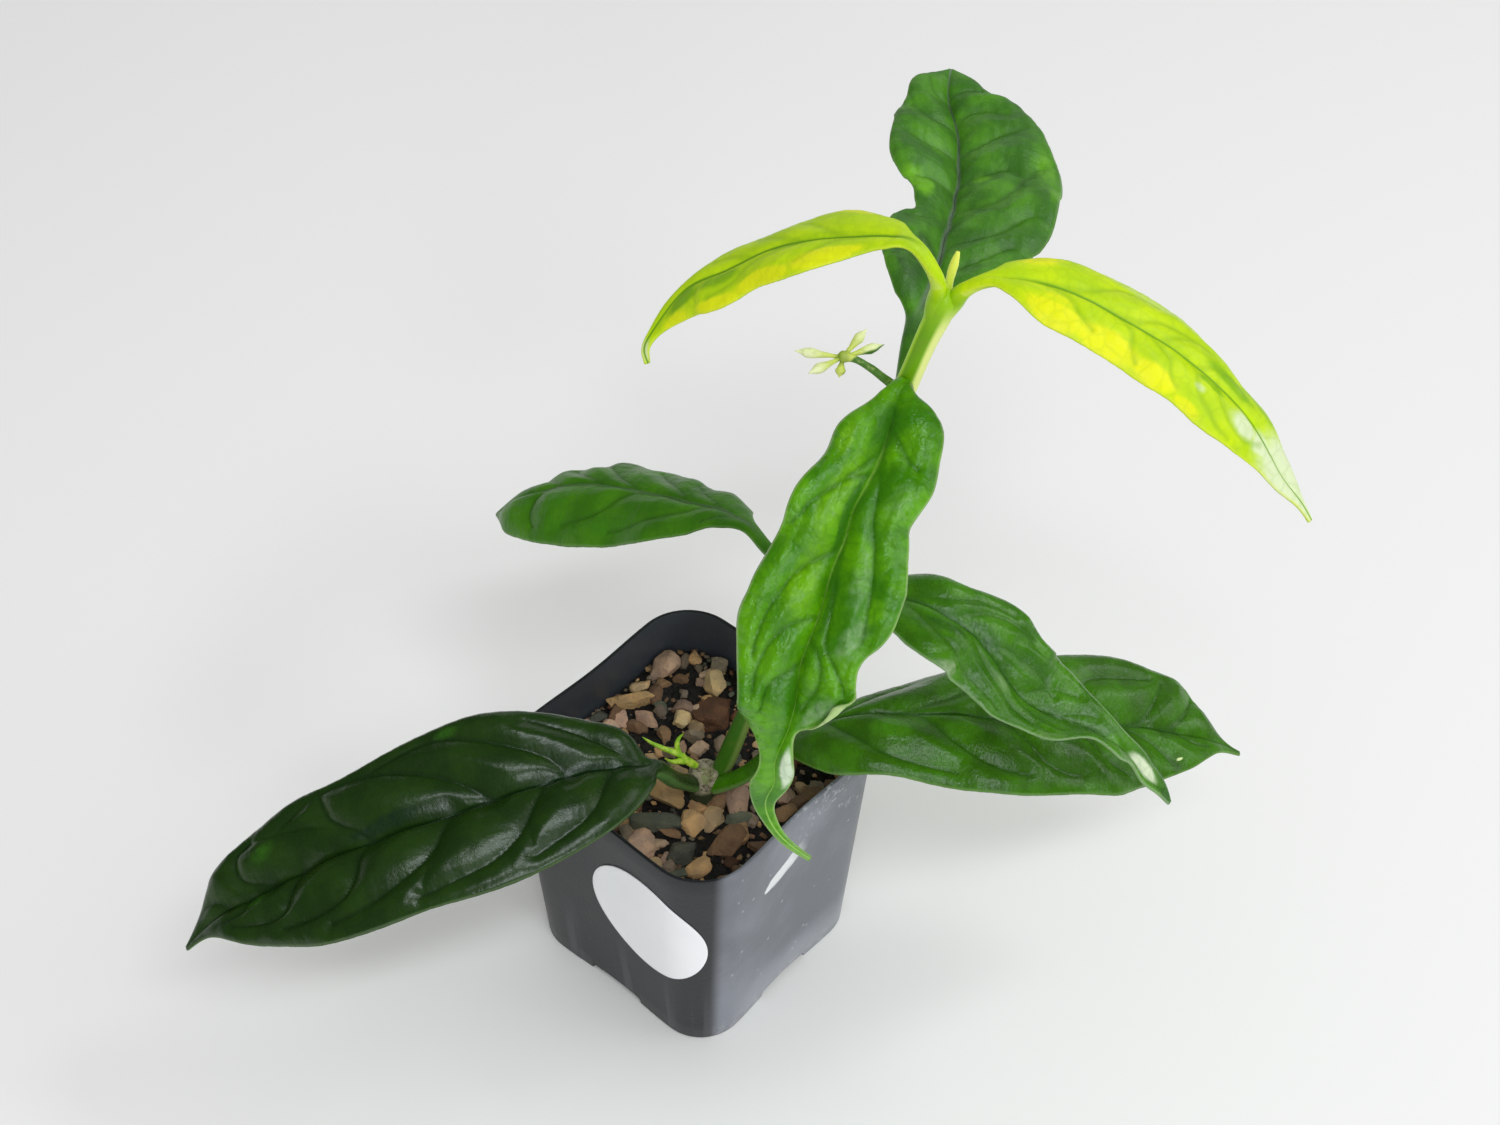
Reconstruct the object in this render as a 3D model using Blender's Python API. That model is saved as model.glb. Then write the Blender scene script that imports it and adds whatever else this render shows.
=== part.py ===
"""Potted hoya: a young rooted cutting with eight leaves in a small square nursery pot.

Metres, +Z up. The origin is the middle of the pot's underside and the pot's sides run along X and Y.
Sizes below are in millimetres and become metres through MM. The plant has a frame of its own: x along
the row of leaves, y across it, z up, turned about the pot's axis by PLANT_TURN.
"""
import math
import random

import bmesh
import bpy
import numpy as np
from mathutils import Matrix, Vector

MM = 0.001
GAP = 0.3  # left between pieces that rest on each other

# Pot: thin moulded wall, square with round corners, a little narrower at the foot
POT_TOP = 66.0
POT_FOOT = 58.0
POT_HEIGHT = 66.5
POT_WALL = 1.0
POT_FLOOR = 1.2
CORNER_TOP = 13.0
CORNER_FOOT = 11.0
SIDE_BOW = 0.7
CORNER_STEPS = 6
SIDE_STEPS = 4
SLOT_WIDTH = 16.0
SLOT_HEIGHT = 2.0
SLOT_REACH = 5.5

# Round label, pressed on one side and carried round the corner beside it
LABEL_RADIUS = 17.0
LABEL_ALONG = 13.5
LABEL_UP = 39.5
LABEL_THICK = 0.35
LABEL_RINGS = 4
LABEL_STEPS = 28

# Growing mix and the stones that lie in it
MIX_TOP = 54.5
MIX_CROWN = 1.5
STONE_POINTS = 12
STONE_FLAT = (0.55, 0.8)  # half height of a stone, as a share of its half width
STONE_SUNK = 0.35  # height of a stone's middle above the mix, in the same share
# The stones that show between the leaves: x, y, half length, half width, turn in degrees
STONES = [
    (-27, 19, 3.6, 2.8, 120), (-21, 19, 1.6, 1.3, 40), (-27, 11, 2.1, 1.5, 70), (-26, 6, 5.2, 1.9, 50),
    (-14, 23, 2.9, 2.6, 110), (-17, 28, 2.3, 1.8, 10), (-25, 24, 1.6, 1.3, 130), (-7, 15, 5.0, 3.8, 110),
    (-19, 4, 3.1, 2.0, 0), (-18, 8, 1.8, 1.4, 40), (-12, 9, 2.5, 2.1, 120), (-12, 3, 2.4, 1.4, 130),
    (-28, -3, 1.6, 1.5, 90), (-24, -4, 2.0, 1.5, 40), (-28, -6, 1.3, 1.0, 0), (-7, 7, 2.1, 1.9, 40),
    (-8, 0, 2.2, 1.5, 30), (-10, -4, 1.5, 1.2, -10), (-3, 6, 2.1, 1.7, 70), (0, -10, 4.1, 2.8, -20),
    (4, -18, 4.7, 2.6, 30), (10, -13, 2.8, 2.5, 40), (8, -8, 2.3, 1.6, 10), (13, -8, 3.2, 1.8, 120),
    (14, -1, 4.7, 2.4, -40), (20, -12, 4.5, 2.9, 90), (21, -8, 2.9, 2.0, 120), (6, -24, 3.6, 2.4, -10),
    (9, -21, 1.5, 1.2, 40), (14, -20, 2.8, 2.5, 100), (20, -20, 2.7, 1.8, 70), (12, -26, 1.5, 1.1, -10),
    (15, -27, 1.1, 0.9, 40), (18, -24, 2.1, 1.2, 60), (19, -26, 2.0, 0.9, 30), (25, 10, 3.9, 1.8, 70),
    (24, 4, 2.3, 1.7, 80), (11, 5, 1.8, 1.3, 70), (26, -7, 2.3, 1.4, 50), (20, -3, 1.9, 1.4, -30),
]
# Small stones strewn over what is left
STREWN_COUNT = 70
STREWN_SIZE = (1.2, 2.6)
STREWN_SPACING = 0.86
STREWN_TRIES = 9000
STREWN_SEED = 41

# Plant
PLANT_TURN = 40.0
STEM_SIDES = 12
PETIOLE = 2.0
YOUNG_PETIOLE = 1.5
BLADE = 0.8
LEAF_STEPS = 31
ACROSS = (-1.0, -0.72, -0.42, -0.14, 0.0, 0.14, 0.42, 0.72, 1.0)
ARCH = 0.28  # swell of each half blade, as a share of its reach
KEEL = 0.9  # depth of the midrib under the blade, as a share of the petiole
KEEL_WIDTH = 0.1
FLATTEN = 3.0  # width gained while the round petiole turns into the blade

# Stump of the cutting: x, y, z and radius along its axis
STUMP = [
    (2.0, -8.0, 30.0, 2.8),
    (2.2, -7.8, 50.0, 2.9),
    (2.4, -7.4, 58.0, 3.5),
    (2.6, -7.1, 62.0, 3.7),
    (2.7, -6.9, 64.0, 3.0),
]
# Stem that grew from its side
STEM = [
    (5.0, -6.6, 59.0, 1.9),
    (7.0, -5.8, 64.5, 2.2),
    (11.5, -4.0, 79.0, 1.9),
    (18.0, -2.0, 97.5, 2.0),
    (23.6, -0.6, 112.5, 2.3),
    (25.2, 0.0, 117.5, 2.1),
    (33.0, 2.0, 141.0, 2.1),
    (40.6, 3.8, 163.5, 2.4),
    (42.2, 4.1, 168.5, 2.3),
    (45.6, 4.7, 180.0, 2.4),
    (48.2, 5.0, 188.5, 2.7),
]
TIP_BUD = [
    (48.4, 6.4, 187.0, 1.1),
    (48.7, 7.3, 190.5, 1.1),
    (49.3, 7.6, 194.0, 1.0),
    (49.8, 7.8, 196.6, 0.5),
]
# Shoots in the stump's upper left axil: one long, one short, and the knot they share
SHOOTS = [
    [(0.6, -6.4, 64.2, 1.1), (-1.6, -6.9, 66.2, 1.4), (-2.8, -7.2, 67.4, 0.9)],
    [(-0.6, -6.6, 65.4, 1.0), (-5.2, -6.4, 69.2, 1.0), (-8.6, -5.6, 70.8, 0.8), (-11.0, -5.0, 71.8, 0.35)],
    [(-1.0, -7.0, 65.8, 1.0), (-3.4, -8.4, 68.4, 0.9), (-5.2, -9.4, 70.0, 0.4)],
]
FLOWER_STALK = [
    (40.4, 3.6, 166.6, 1.0),
    (37.4, 3.6, 169.4, 1.0),
    (34.2, 4.2, 171.8, 0.9),
    (31.4, 4.7, 173.2, 0.9),
    (29.0, 5.0, 173.4, 1.2),
]
HUB = (29.2, 5.0, 173.3)
BUD_TIPS = [
    (20.2, 5.0, 174.6),
    (22.8, 0.4, 173.0),
    (33.6, 9.4, 176.6),
    (37.0, 8.6, 173.6),
    (28.4, 0.6, 170.4),
]

# Leaves. Each row is a place on the midrib (x, y, z), the reach of the left and the right half of the
# blade there as seen from the stem, and how steeply each half rises from the midrib in degrees. face is
# the way the upper side looks, and a wave is how many there are along a margin, their height and start.
LEAVES = {
    "leaf_low_left": {
        "face": (0, 0, 1),
        "petiole": PETIOLE,
        "waves": ((4, 0.6, 0.2), (4, 0.6, 0.6)),
        "colour": (0.012, 0.045, 0.014),
        "rows": [
            (0.6, -8.8, 60.6, 2.0, 2.0, 0, 0),
            (-4.4, -14.6, 69.5, 2.0, 2.0, 0, 0),
            (-8.5, -20.0, 79.5, 3.0, 3.0, 0, 0),
            (-11.5, -22.0, 82.0, 7.5, 7.0, -8, 20),
            (-17.5, -24.0, 83.0, 13.5, 11.0, -10, 22),
            (-24.5, -26.0, 83.0, 16.5, 14.5, -11, 22),
            (-32.0, -28.5, 82.5, 18.0, 17.0, -12, 26),
            (-41.0, -31.0, 80.5, 19.5, 19.0, -12, 26),
            (-50.5, -33.5, 78.0, 20.0, 19.5, -12, 25),
            (-58.5, -35.5, 76.0, 19.5, 18.5, -12, 25),
            (-66.0, -37.0, 73.5, 19.5, 16.5, -12, 25),
            (-73.5, -38.0, 70.0, 19.5, 15.5, -12, 25),
            (-80.5, -39.0, 66.0, 18.5, 16.0, -12, 25),
            (-88.0, -40.5, 62.0, 15.0, 14.0, -12, 27),
            (-95.0, -42.0, 58.0, 10.5, 12.0, -10, 25),
            (-100.0, -43.0, 55.5, 7.0, 9.5, -8, 19),
            (-104.5, -44.0, 51.5, 3.0, 4.5, -5, 10),
            (-109.5, -46.0, 46.0, 0.6, 0.6, 0, 0),
        ],
    },
    "leaf_low_right": {
        "face": (0, 0, 1),
        "petiole": PETIOLE,
        "waves": ((4, 0.6, 0.2), (5, 0.8, 0.6)),
        "colour": (0.035, 0.11, 0.012),
        "rows": [
            (4.6, -8.8, 60.0, 2.0, 2.0, 0, 0),
            (12.5, -9.6, 66.0, 2.0, 2.0, 0, 0),
            (19.5, -7.6, 73.0, 2.5, 2.5, -20, 0),
            (23.5, -8.0, 77.5, 7.0, 7.0, -35, -8),
            (28.0, -8.5, 81.5, 9.5, 11.5, -40, -13),
            (35.5, -9.0, 85.0, 12.0, 15.0, -34, -12),
            (46.5, -9.0, 86.0, 16.0, 16.0, -25, -12),
            (60.0, -8.5, 85.0, 17.0, 18.5, -13, -12),
            (70.0, -8.0, 83.5, 17.0, 19.0, 0, -12),
            (80.0, -6.0, 80.5, 18.0, 17.5, 11, -12),
            (90.0, -3.0, 77.5, 17.0, 19.0, 15, -12),
            (97.5, -2.0, 75.5, 16.5, 16.0, 15, -12),
            (105.5, -1.5, 73.5, 15.5, 11.5, 13, -12),
            (111.5, -1.0, 71.5, 14.5, 8.5, 9, -9),
            (116.5, -0.5, 69.5, 8.0, 4.5, 4, -4),
            (120.5, 0.0, 67.0, 2.0, 2.0, 0, 0),
            (124.5, 0.0, 64.5, 0.6, 0.6, 0, 0),
        ],
    },
    "leaf_mid_left": {
        "face": (0, 0, 1),
        "petiole": PETIOLE,
        "waves": ((5, 0.5, 0.1), (8, 0.7, 0.7)),
        "colour": (0.035, 0.12, 0.02),
        "rows": [
            (24.0, -0.4, 114.0, 1.9, 1.9, 0, 0),
            (19.6, 7.0, 114.6, 1.9, 1.9, 0, 0),
            (15.0, 13.0, 115.0, 1.9, 1.9, 0, 0),
            (12.0, 17.5, 115.5, 2.5, 2.5, -6, -6),
            (8.5, 21.5, 115.0, 4.0, 5.0, -11, -11),
            (5.5, 25.5, 113.5, 7.0, 6.0, -11, -11),
            (1.0, 29.5, 111.0, 10.0, 8.5, -10, -10),
            (-4.5, 34.0, 108.5, 14.0, 9.0, -14, -12),
            (-10.0, 38.5, 106.0, 14.5, 13.5, -20, -17),
            (-16.5, 43.5, 103.0, 16.0, 14.0, -25, -20),
            (-23.0, 48.0, 100.0, 17.0, 16.0, -25, -20),
            (-30.0, 52.0, 96.5, 16.0, 13.5, -23, -20),
            (-36.5, 55.0, 92.0, 15.0, 11.0, -21, -20),
            (-41.5, 57.0, 88.0, 12.0, 8.5, -18, -18),
            (-45.0, 58.5, 84.5, 9.0, 5.5, -12, -12),
            (-47.5, 59.5, 81.5, 5.0, 3.0, -6, -7),
            (-50.0, 60.0, 79.0, 0.6, 0.6, 0, 0),
        ],
    },
    "leaf_mid_right": {
        "face": (0, 0, 1),
        "petiole": PETIOLE,
        "waves": ((4, 0.8, 0.1), (5, 0.8, 0.5)),
        "colour": (0.035, 0.12, 0.02),
        "rows": [
            (24.6, -0.4, 114.6, 1.9, 1.9, 0, 0),
            (34.0, -3.0, 115.8, 1.9, 1.9, 0, 0),
            (42.0, -5.0, 117.5, 7.5, 7.0, 0, 0),
            (47.5, -8.0, 119.0, 8.5, 10.0, 4, -2),
            (53.5, -11.0, 118.0, 9.0, 13.0, 7, -4),
            (59.0, -13.0, 114.5, 12.0, 12.5, 10, -3),
            (62.5, -15.5, 111.0, 13.0, 11.0, 13, 1),
            (66.0, -17.5, 106.5, 12.0, 11.5, 16, 6),
            (69.5, -19.5, 102.5, 13.0, 9.5, 19, 12),
            (74.0, -21.0, 100.0, 12.5, 9.5, 20, 21),
            (79.5, -23.0, 98.5, 10.0, 9.0, 20, 31),
            (85.0, -24.5, 97.5, 6.0, 4.5, 20, 35),
            (89.0, -26.0, 96.0, 4.0, 5.0, 20, 29),
            (92.5, -27.0, 93.0, 4.0, 1.5, 15, 18),
            (95.5, -28.5, 89.5, 4.5, 2.0, 9, 8),
            (98.5, -29.5, 87.0, 3.5, 1.5, 4, 3),
            (101.5, -31.0, 84.0, 0.6, 0.6, 0, 0),
        ],
    },
    "leaf_front": {
        "face": (0, -1, 1),
        "petiole": PETIOLE,
        "waves": ((5, 1.0, 0.1), (6, 1.2, 0.4)),
        "colour": (0.06, 0.22, 0.01),
        "rows": [
            (41.5, 3.4, 166.5, 2.0, 2.0, 0, 0),
            (40.5, -1.0, 170.5, 4.0, 3.0, 0, 0),
            (39.5, -4.0, 169.0, 8.0, 4.5, 5, 5),
            (38.5, -7.0, 166.5, 10.5, 8.0, 9, 8),
            (37.5, -10.0, 164.0, 11.0, 10.0, 10, 8),
            (35.5, -14.0, 161.0, 12.0, 10.0, 11, 9),
            (33.5, -17.5, 159.0, 11.5, 10.5, 12, 10),
            (31.5, -20.5, 156.5, 11.5, 12.0, 13, 10),
            (30.0, -24.5, 152.5, 13.0, 12.5, 15, 8),
            (28.0, -28.0, 149.0, 15.0, 12.5, 17, 7),
            (26.5, -32.0, 145.5, 15.0, 14.0, 18, 6),
            (25.0, -36.0, 142.0, 14.0, 14.5, 20, 5),
            (23.5, -39.0, 139.5, 11.5, 14.5, 20, 5),
            (22.0, -42.0, 136.0, 11.5, 12.5, 20, 5),
            (21.5, -44.0, 132.0, 11.0, 11.5, 20, 5),
            (21.0, -46.0, 128.0, 6.5, 11.0, 22, 6),
            (20.0, -47.5, 124.0, 2.0, 9.5, 25, 5),
            (18.5, -49.5, 120.5, 3.0, 5.0, 24, 2),
            (17.5, -50.5, 116.5, 4.0, 3.0, 12, 0),
            (17.5, -51.0, 112.0, 3.0, 4.5, -2, 0),
            (16.0, -51.5, 107.5, 2.0, 3.0, -1, 0),
            (16.5, -52.5, 103.5, 1.5, 1.5, 1, 0),
            (19.0, -54.5, 100.0, 1.0, 1.0, 0, 0),
            (25.0, -57.0, 96.0, 0.6, 0.6, 0, 0),
        ],
    },
    "leaf_back": {
        "face": (0, 0, 1),
        "petiole": PETIOLE,
        "waves": ((4, 1.0, 0.3), (4, 1.2, 0.1)),
        "colour": (0.045, 0.14, 0.03),
        "rows": [
            (41.6, 4.4, 166.4, 2.0, 2.0, 0, 0),
            (43.0, 13.0, 170.5, 2.2, 3.0, 0, 0),
            (44.5, 20.5, 171.0, 3.0, 3.5, 10, 0),
            (46.5, 27.0, 171.0, 8.0, 5.0, 20, 0),
            (48.5, 34.0, 171.0, 12.0, 11.5, 23, -1),
            (50.5, 42.5, 171.5, 13.0, 17.0, 22, 0),
            (51.5, 48.0, 171.5, 11.5, 19.5, 22, 2),
            (52.5, 51.5, 171.0, 8.5, 21.0, 23, 3),
            (53.0, 55.5, 170.5, 8.5, 22.0, 24, 4),
            (54.0, 59.5, 170.5, 10.0, 22.0, 25, 5),
            (54.5, 64.0, 170.0, 13.0, 22.5, 25, 5),
            (55.5, 69.0, 170.0, 16.0, 22.5, 25, 5),
            (56.0, 77.0, 170.5, 16.5, 21.5, 22, 5),
            (56.5, 85.5, 171.0, 15.5, 18.5, 20, 5),
            (56.0, 92.0, 171.5, 14.5, 16.0, 20, 5),
            (55.0, 98.5, 172.5, 10.5, 13.5, 22, 6),
            (55.0, 103.0, 173.5, 8.5, 9.0, 20, 5),
            (55.5, 107.0, 174.0, 4.0, 5.5, 15, 3),
            (56.0, 110.0, 174.5, 0.6, 0.6, 10, 0),
        ],
    },
    "leaf_young_left": {
        "face": (0, 0, 1),
        "petiole": YOUNG_PETIOLE,
        "waves": ((5, 0.4, 0.1), (5, 0.4, 0.6)),
        "colour": (0.3, 0.5, 0.02),
        "rows": [
            (46.4, 4.9, 188.0, 1.5, 1.5, 0, 0),
            (46.0, 3.6, 193.0, 1.6, 1.6, 0, 0),
            (44.5, 4.0, 196.0, 2.0, 2.0, 0, 0),
            (41.5, 6.0, 199.0, 2.5, 2.5, 0, 0),
            (37.0, 8.5, 199.0, 3.5, 6.0, -6, -2),
            (31.0, 10.5, 197.5, 5.5, 9.0, -7, -4),
            (24.5, 12.5, 195.5, 8.5, 11.5, -8, -6),
            (18.0, 14.0, 193.0, 9.5, 8.5, -8, -8),
            (12.0, 15.0, 189.5, 9.0, 7.0, -8, -8),
            (5.5, 15.0, 185.5, 9.5, 7.5, -8, -8),
            (-0.5, 15.0, 182.0, 8.0, 3.0, -6, -6),
            (-4.5, 13.5, 178.0, 5.0, 2.0, -3, -4),
            (-8.0, 11.0, 173.5, 1.5, 1.0, 0, -2),
            (-9.5, 9.0, 171.0, 1.0, 0.6, 0, -1),
            (-9.0, 8.0, 168.5, 0.6, 0.6, 0, 0),
        ],
    },
    "leaf_young_right": {
        "face": (0, 0, 1),
        "petiole": YOUNG_PETIOLE,
        "waves": ((5, 0.5, 0.1), (5, 0.5, 0.6)),
        "colour": (0.35, 0.55, 0.02),
        "rows": [
            (50.0, 4.9, 188.0, 1.5, 1.5, 0, 0),
            (51.0, 3.6, 190.6, 1.5, 1.6, 0, 0),
            (53.5, 3.0, 193.0, 2.5, 2.0, 0, 0),
            (57.0, 2.5, 194.5, 4.5, 3.0, -2, -4),
            (62.5, 2.0, 194.5, 7.5, 7.0, -4, -9),
            (69.5, 0.5, 193.5, 10.5, 9.5, -7, -13),
            (76.0, -1.5, 191.5, 12.0, 10.0, -8, -16),
            (82.5, -4.0, 189.0, 11.5, 9.5, -8, -17),
            (89.0, -6.0, 186.0, 12.0, 10.5, -8, -18),
            (95.0, -8.5, 182.5, 9.0, 9.5, -8, -17),
            (100.5, -11.0, 178.5, 7.5, 9.5, -8, -16),
            (105.5, -13.0, 173.5, 7.0, 8.0, -7, -14),
            (109.5, -15.5, 168.0, 5.5, 4.5, -6, -11),
            (113.0, -17.5, 163.0, 4.5, 3.0, -5, -6),
            (116.0, -19.5, 160.0, 1.5, 1.5, -3, -3),
            (118.5, -21.0, 156.5, 0.6, 0.6, 0, 0),
        ],
    },
}


def clear_scene():
    for obj in list(bpy.data.objects):
        bpy.data.objects.remove(obj, do_unlink=True)


def material(name, colour, roughness, metallic=0.0):
    mat = bpy.data.materials.new(name)
    mat.use_nodes = True
    shader = mat.node_tree.nodes["Principled BSDF"]
    shader.inputs["Base Color"].default_value = (*colour, 1.0)
    shader.inputs["Roughness"].default_value = roughness
    shader.inputs["Metallic"].default_value = metallic
    return mat


def add_object(name, bm, mat, collection=None):
    """Turn a bmesh in millimetres into an object in metres with its faces pointing out."""
    bmesh.ops.recalc_face_normals(bm, faces=bm.faces)
    bmesh.ops.scale(bm, vec=(MM, MM, MM), verts=bm.verts)
    mesh = bpy.data.meshes.new(name)
    bm.to_mesh(mesh)
    bm.free()
    mesh.shade_smooth()
    mesh.set_sharp_from_angle(angle=math.radians(40))
    obj = bpy.data.objects.new(name, mesh)
    (collection or bpy.context.scene.collection).objects.link(obj)
    if mat:
        mesh.materials.append(mat)
    return obj


def turn_plant(obj):
    """Carry a piece from the plant's frame to the pot's."""
    obj.data.transform(Matrix.Rotation(math.radians(PLANT_TURN), 4, "Z"))


def bake(obj):
    """Replace an object's mesh by what its modifiers make of it."""
    graph = bpy.context.evaluated_depsgraph_get()
    mesh = bpy.data.meshes.new_from_object(obj.evaluated_get(graph))
    obj.modifiers.clear()
    obj.data = mesh


def join_all(name, parts, mat):
    """Fuse overlapping pieces into one closed body."""
    body = parts[0]
    group = bpy.data.collections.new(name + "_parts")
    bpy.context.scene.collection.children.link(group)
    for part in parts[1:]:
        bpy.context.scene.collection.objects.unlink(part)
        group.objects.link(part)
    union = body.modifiers.new("union", "BOOLEAN")
    union.operation = "UNION"
    union.operand_type = "COLLECTION"
    union.collection = group
    union.solver = "EXACT"
    bake(body)
    for part in parts[1:]:
        bpy.data.objects.remove(part, do_unlink=True)
    bpy.data.collections.remove(group)
    body.name = name
    body.data.materials.clear()
    body.data.materials.append(mat)
    return body


def cut(obj, cutter):
    cutter.hide_render = True
    cutter.display_type = "WIRE"
    difference = obj.modifiers.new("cut", "BOOLEAN")
    difference.operation = "DIFFERENCE"
    difference.object = cutter
    difference.solver = "EXACT"


def blend(a, b, t):
    return a + (b - a) * t


def pot_outline(z, inset):
    """Rounded square at height z, drawn in from the outer face by inset, sides bowed inwards."""
    rise = min(max(z / POT_HEIGHT, 0.0), 1.0)
    half = blend(POT_FOOT, POT_TOP, rise) / 2 - inset
    corner = max(blend(CORNER_FOOT, CORNER_TOP, rise) - inset, 1.0)
    quarter = []
    for i in range(SIDE_STEPS):
        t = -1 + 2 * i / SIDE_STEPS
        bow = SIDE_BOW * (0.5 + 0.5 * math.cos(math.pi * t))
        quarter.append((half - bow, t * (half - corner)))
    for i in range(CORNER_STEPS + 1):
        a = math.pi / 2 * i / CORNER_STEPS
        quarter.append((half - corner + corner * math.cos(a), half - corner + corner * math.sin(a)))
    points = []
    for c, s in ((1, 0), (0, 1), (-1, 0), (0, -1)):
        points += [Vector((c * x - s * y, s * x + c * y, z)) for x, y in quarter]
    return points


def loft(rings, blade=False):
    """Close a stack of rings of equal count into one body, its ends filled.

    In a blade the second half of each ring is the lower face, split to match the face above it.
    """
    bm = bmesh.new()
    loops = [[bm.verts.new(p) for p in ring] for ring in rings]
    count = len(loops[0])
    for low, high in zip(loops, loops[1:]):
        for i in range(count):
            j = (i + 1) % count
            if blade and i >= count // 2:
                bm.faces.new((low[i], low[j], high[i]))
                bm.faces.new((low[j], high[j], high[i]))
            else:
                bm.faces.new((low[i], low[j], high[j]))
                bm.faces.new((low[i], high[j], high[i]))
    bm.faces.new(loops[0])
    bm.faces.new(loops[-1])
    return bm


def make_pot():
    mat = material("pot_plastic", (0.055, 0.057, 0.065), 0.42)
    edge = 0.4
    low, high = 0.3 * POT_HEIGHT, 0.66 * POT_HEIGHT
    profile = [(0.0, edge), (edge, 0.0), (low, 0.0), (high, 0.0)]
    profile += [(POT_HEIGHT - edge, 0.0), (POT_HEIGHT, edge), (POT_HEIGHT - edge, POT_WALL)]
    profile += [(high, POT_WALL), (low, POT_WALL), (POT_FLOOR + 1.0, POT_WALL), (POT_FLOOR, POT_WALL + 1.0)]
    pot = add_object("pot", loft([pot_outline(z, inset) for z, inset in profile]), mat)
    for side in range(4):
        turn = Matrix.Rotation(side * math.pi / 2, 4, "Z")
        size = Matrix.Diagonal((2 * SLOT_REACH, SLOT_WIDTH, 2 * SLOT_HEIGHT, 1))
        bm = bmesh.new()
        bmesh.ops.create_cube(bm, size=1.0, matrix=turn @ Matrix.Translation((POT_FOOT / 2, 0, 0)) @ size)
        cut(pot, add_object("slot_cutter_" + str(side), bm, None))
    return pot


def wall_point(along, z, off):
    """Point off the pot's outer face: along runs from the middle of the -Y side towards the +X side."""
    rise = z / POT_HEIGHT
    half = blend(POT_FOOT, POT_TOP, rise) / 2
    corner = blend(CORNER_FOOT, CORNER_TOP, rise)
    flat = half - corner
    if along <= flat:
        bow = SIDE_BOW * (0.5 + 0.5 * math.cos(math.pi * along / flat))
        return Vector((along, -(half - bow) - off, z))
    a = (along - flat) / corner
    reach = corner + off
    return Vector((flat + reach * math.sin(a), -flat - reach * math.cos(a), z))


def make_label():
    mat = material("label_paper", (0.75, 0.75, 0.77), 0.5)
    rings = []
    radii = [LABEL_RADIUS * (i + 1) / LABEL_RINGS for i in range(LABEL_RINGS)]
    for off, order in ((GAP, radii), (GAP + LABEL_THICK, radii[::-1])):
        for r in order:
            ring = []
            for i in range(LABEL_STEPS):
                a = 2 * math.pi * i / LABEL_STEPS
                ring.append(wall_point(LABEL_ALONG + r * math.cos(a), LABEL_UP + r * math.sin(a), off))
            rings.append(ring)
    return add_object("label", loft(rings), mat)


def stone(rng, x, y, half_length, half_width, turn):
    """Angular pebble: the hull of a few points spread in a spiral over a squashed, turned ball."""
    golden = math.radians(137.5)
    half_height = half_width * rng.uniform(*STONE_FLAT)
    centre = Vector((x, y, MIX_TOP + STONE_SUNK * half_width))
    lie = Matrix.Rotation(math.radians(turn), 3, "Z") @ Matrix.Rotation(rng.uniform(-0.3, 0.3), 3, "X")
    bm = bmesh.new()
    for i in range(STONE_POINTS):
        height = 1 - 2 * (i + 0.5) / STONE_POINTS
        a = i * golden + rng.uniform(-0.5, 0.5)
        flat = math.sqrt(1 - height * height)
        x, y = flat * math.cos(a) * half_length, flat * math.sin(a) * half_width
        point = Vector((x, y, height * half_height)) * rng.uniform(0.92, 1.15)
        bm.verts.new(lie @ point + centre)
    bmesh.ops.convex_hull(bm, input=bm.verts)
    loose = [v for v in bm.verts if not v.link_faces]
    bmesh.ops.delete(bm, geom=loose, context="VERTS")
    bmesh.ops.triangulate(bm, faces=bm.faces)
    return bm


def strewn_stones(rng):
    """Small stones at seeded places, each clear of the wall and of the stones laid before it."""
    half = blend(POT_FOOT, POT_TOP, MIX_TOP / POT_HEIGHT) / 2 - POT_WALL - GAP - SIDE_BOW
    flat = half - CORNER_TOP
    laid = [(x, y, (a + b) / 2) for x, y, a, b, _ in STONES]
    strewn = []
    for _ in range(STREWN_TRIES):
        if len(strewn) == STREWN_COUNT:
            break
        size = rng.uniform(*STREWN_SIZE)
        room = half - size * 1.4
        x, y = rng.uniform(-room, room), rng.uniform(-room, room)
        over_x, over_y = abs(x) - flat, abs(y) - flat
        if over_x > 0 and over_y > 0 and math.hypot(over_x, over_y) > CORNER_TOP - size * 1.5:
            continue
        if any(math.hypot(x - px, y - py) < STREWN_SPACING * (size + other) for px, py, other in laid):
            continue
        laid.append((x, y, size))
        strewn.append((x, y, size * 1.2, size * 0.85, rng.uniform(0, 180)))
    return strewn


def make_mix():
    mat = material("growing_mix", (0.06, 0.045, 0.035), 0.95)
    inset = POT_WALL + GAP
    floor = POT_FLOOR + GAP
    profile = [(floor, inset + 1.2), (floor + 1.2, inset), (MIX_TOP / 2, inset), (MIX_TOP, inset)]
    rings = [pot_outline(z, i) for z, i in profile]
    rings += [[Vector((0.75 * p.x, 0.75 * p.y, MIX_TOP + MIX_CROWN)) for p in rings[-1]]]
    parts = [add_object("mix_body", loft(rings), mat)]
    rng = random.Random(STREWN_SEED)
    for row in STONES + strewn_stones(rng):
        parts.append(add_object("stone", stone(rng, *row), mat))
    return join_all("growing_mix", parts, mat)


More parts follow.
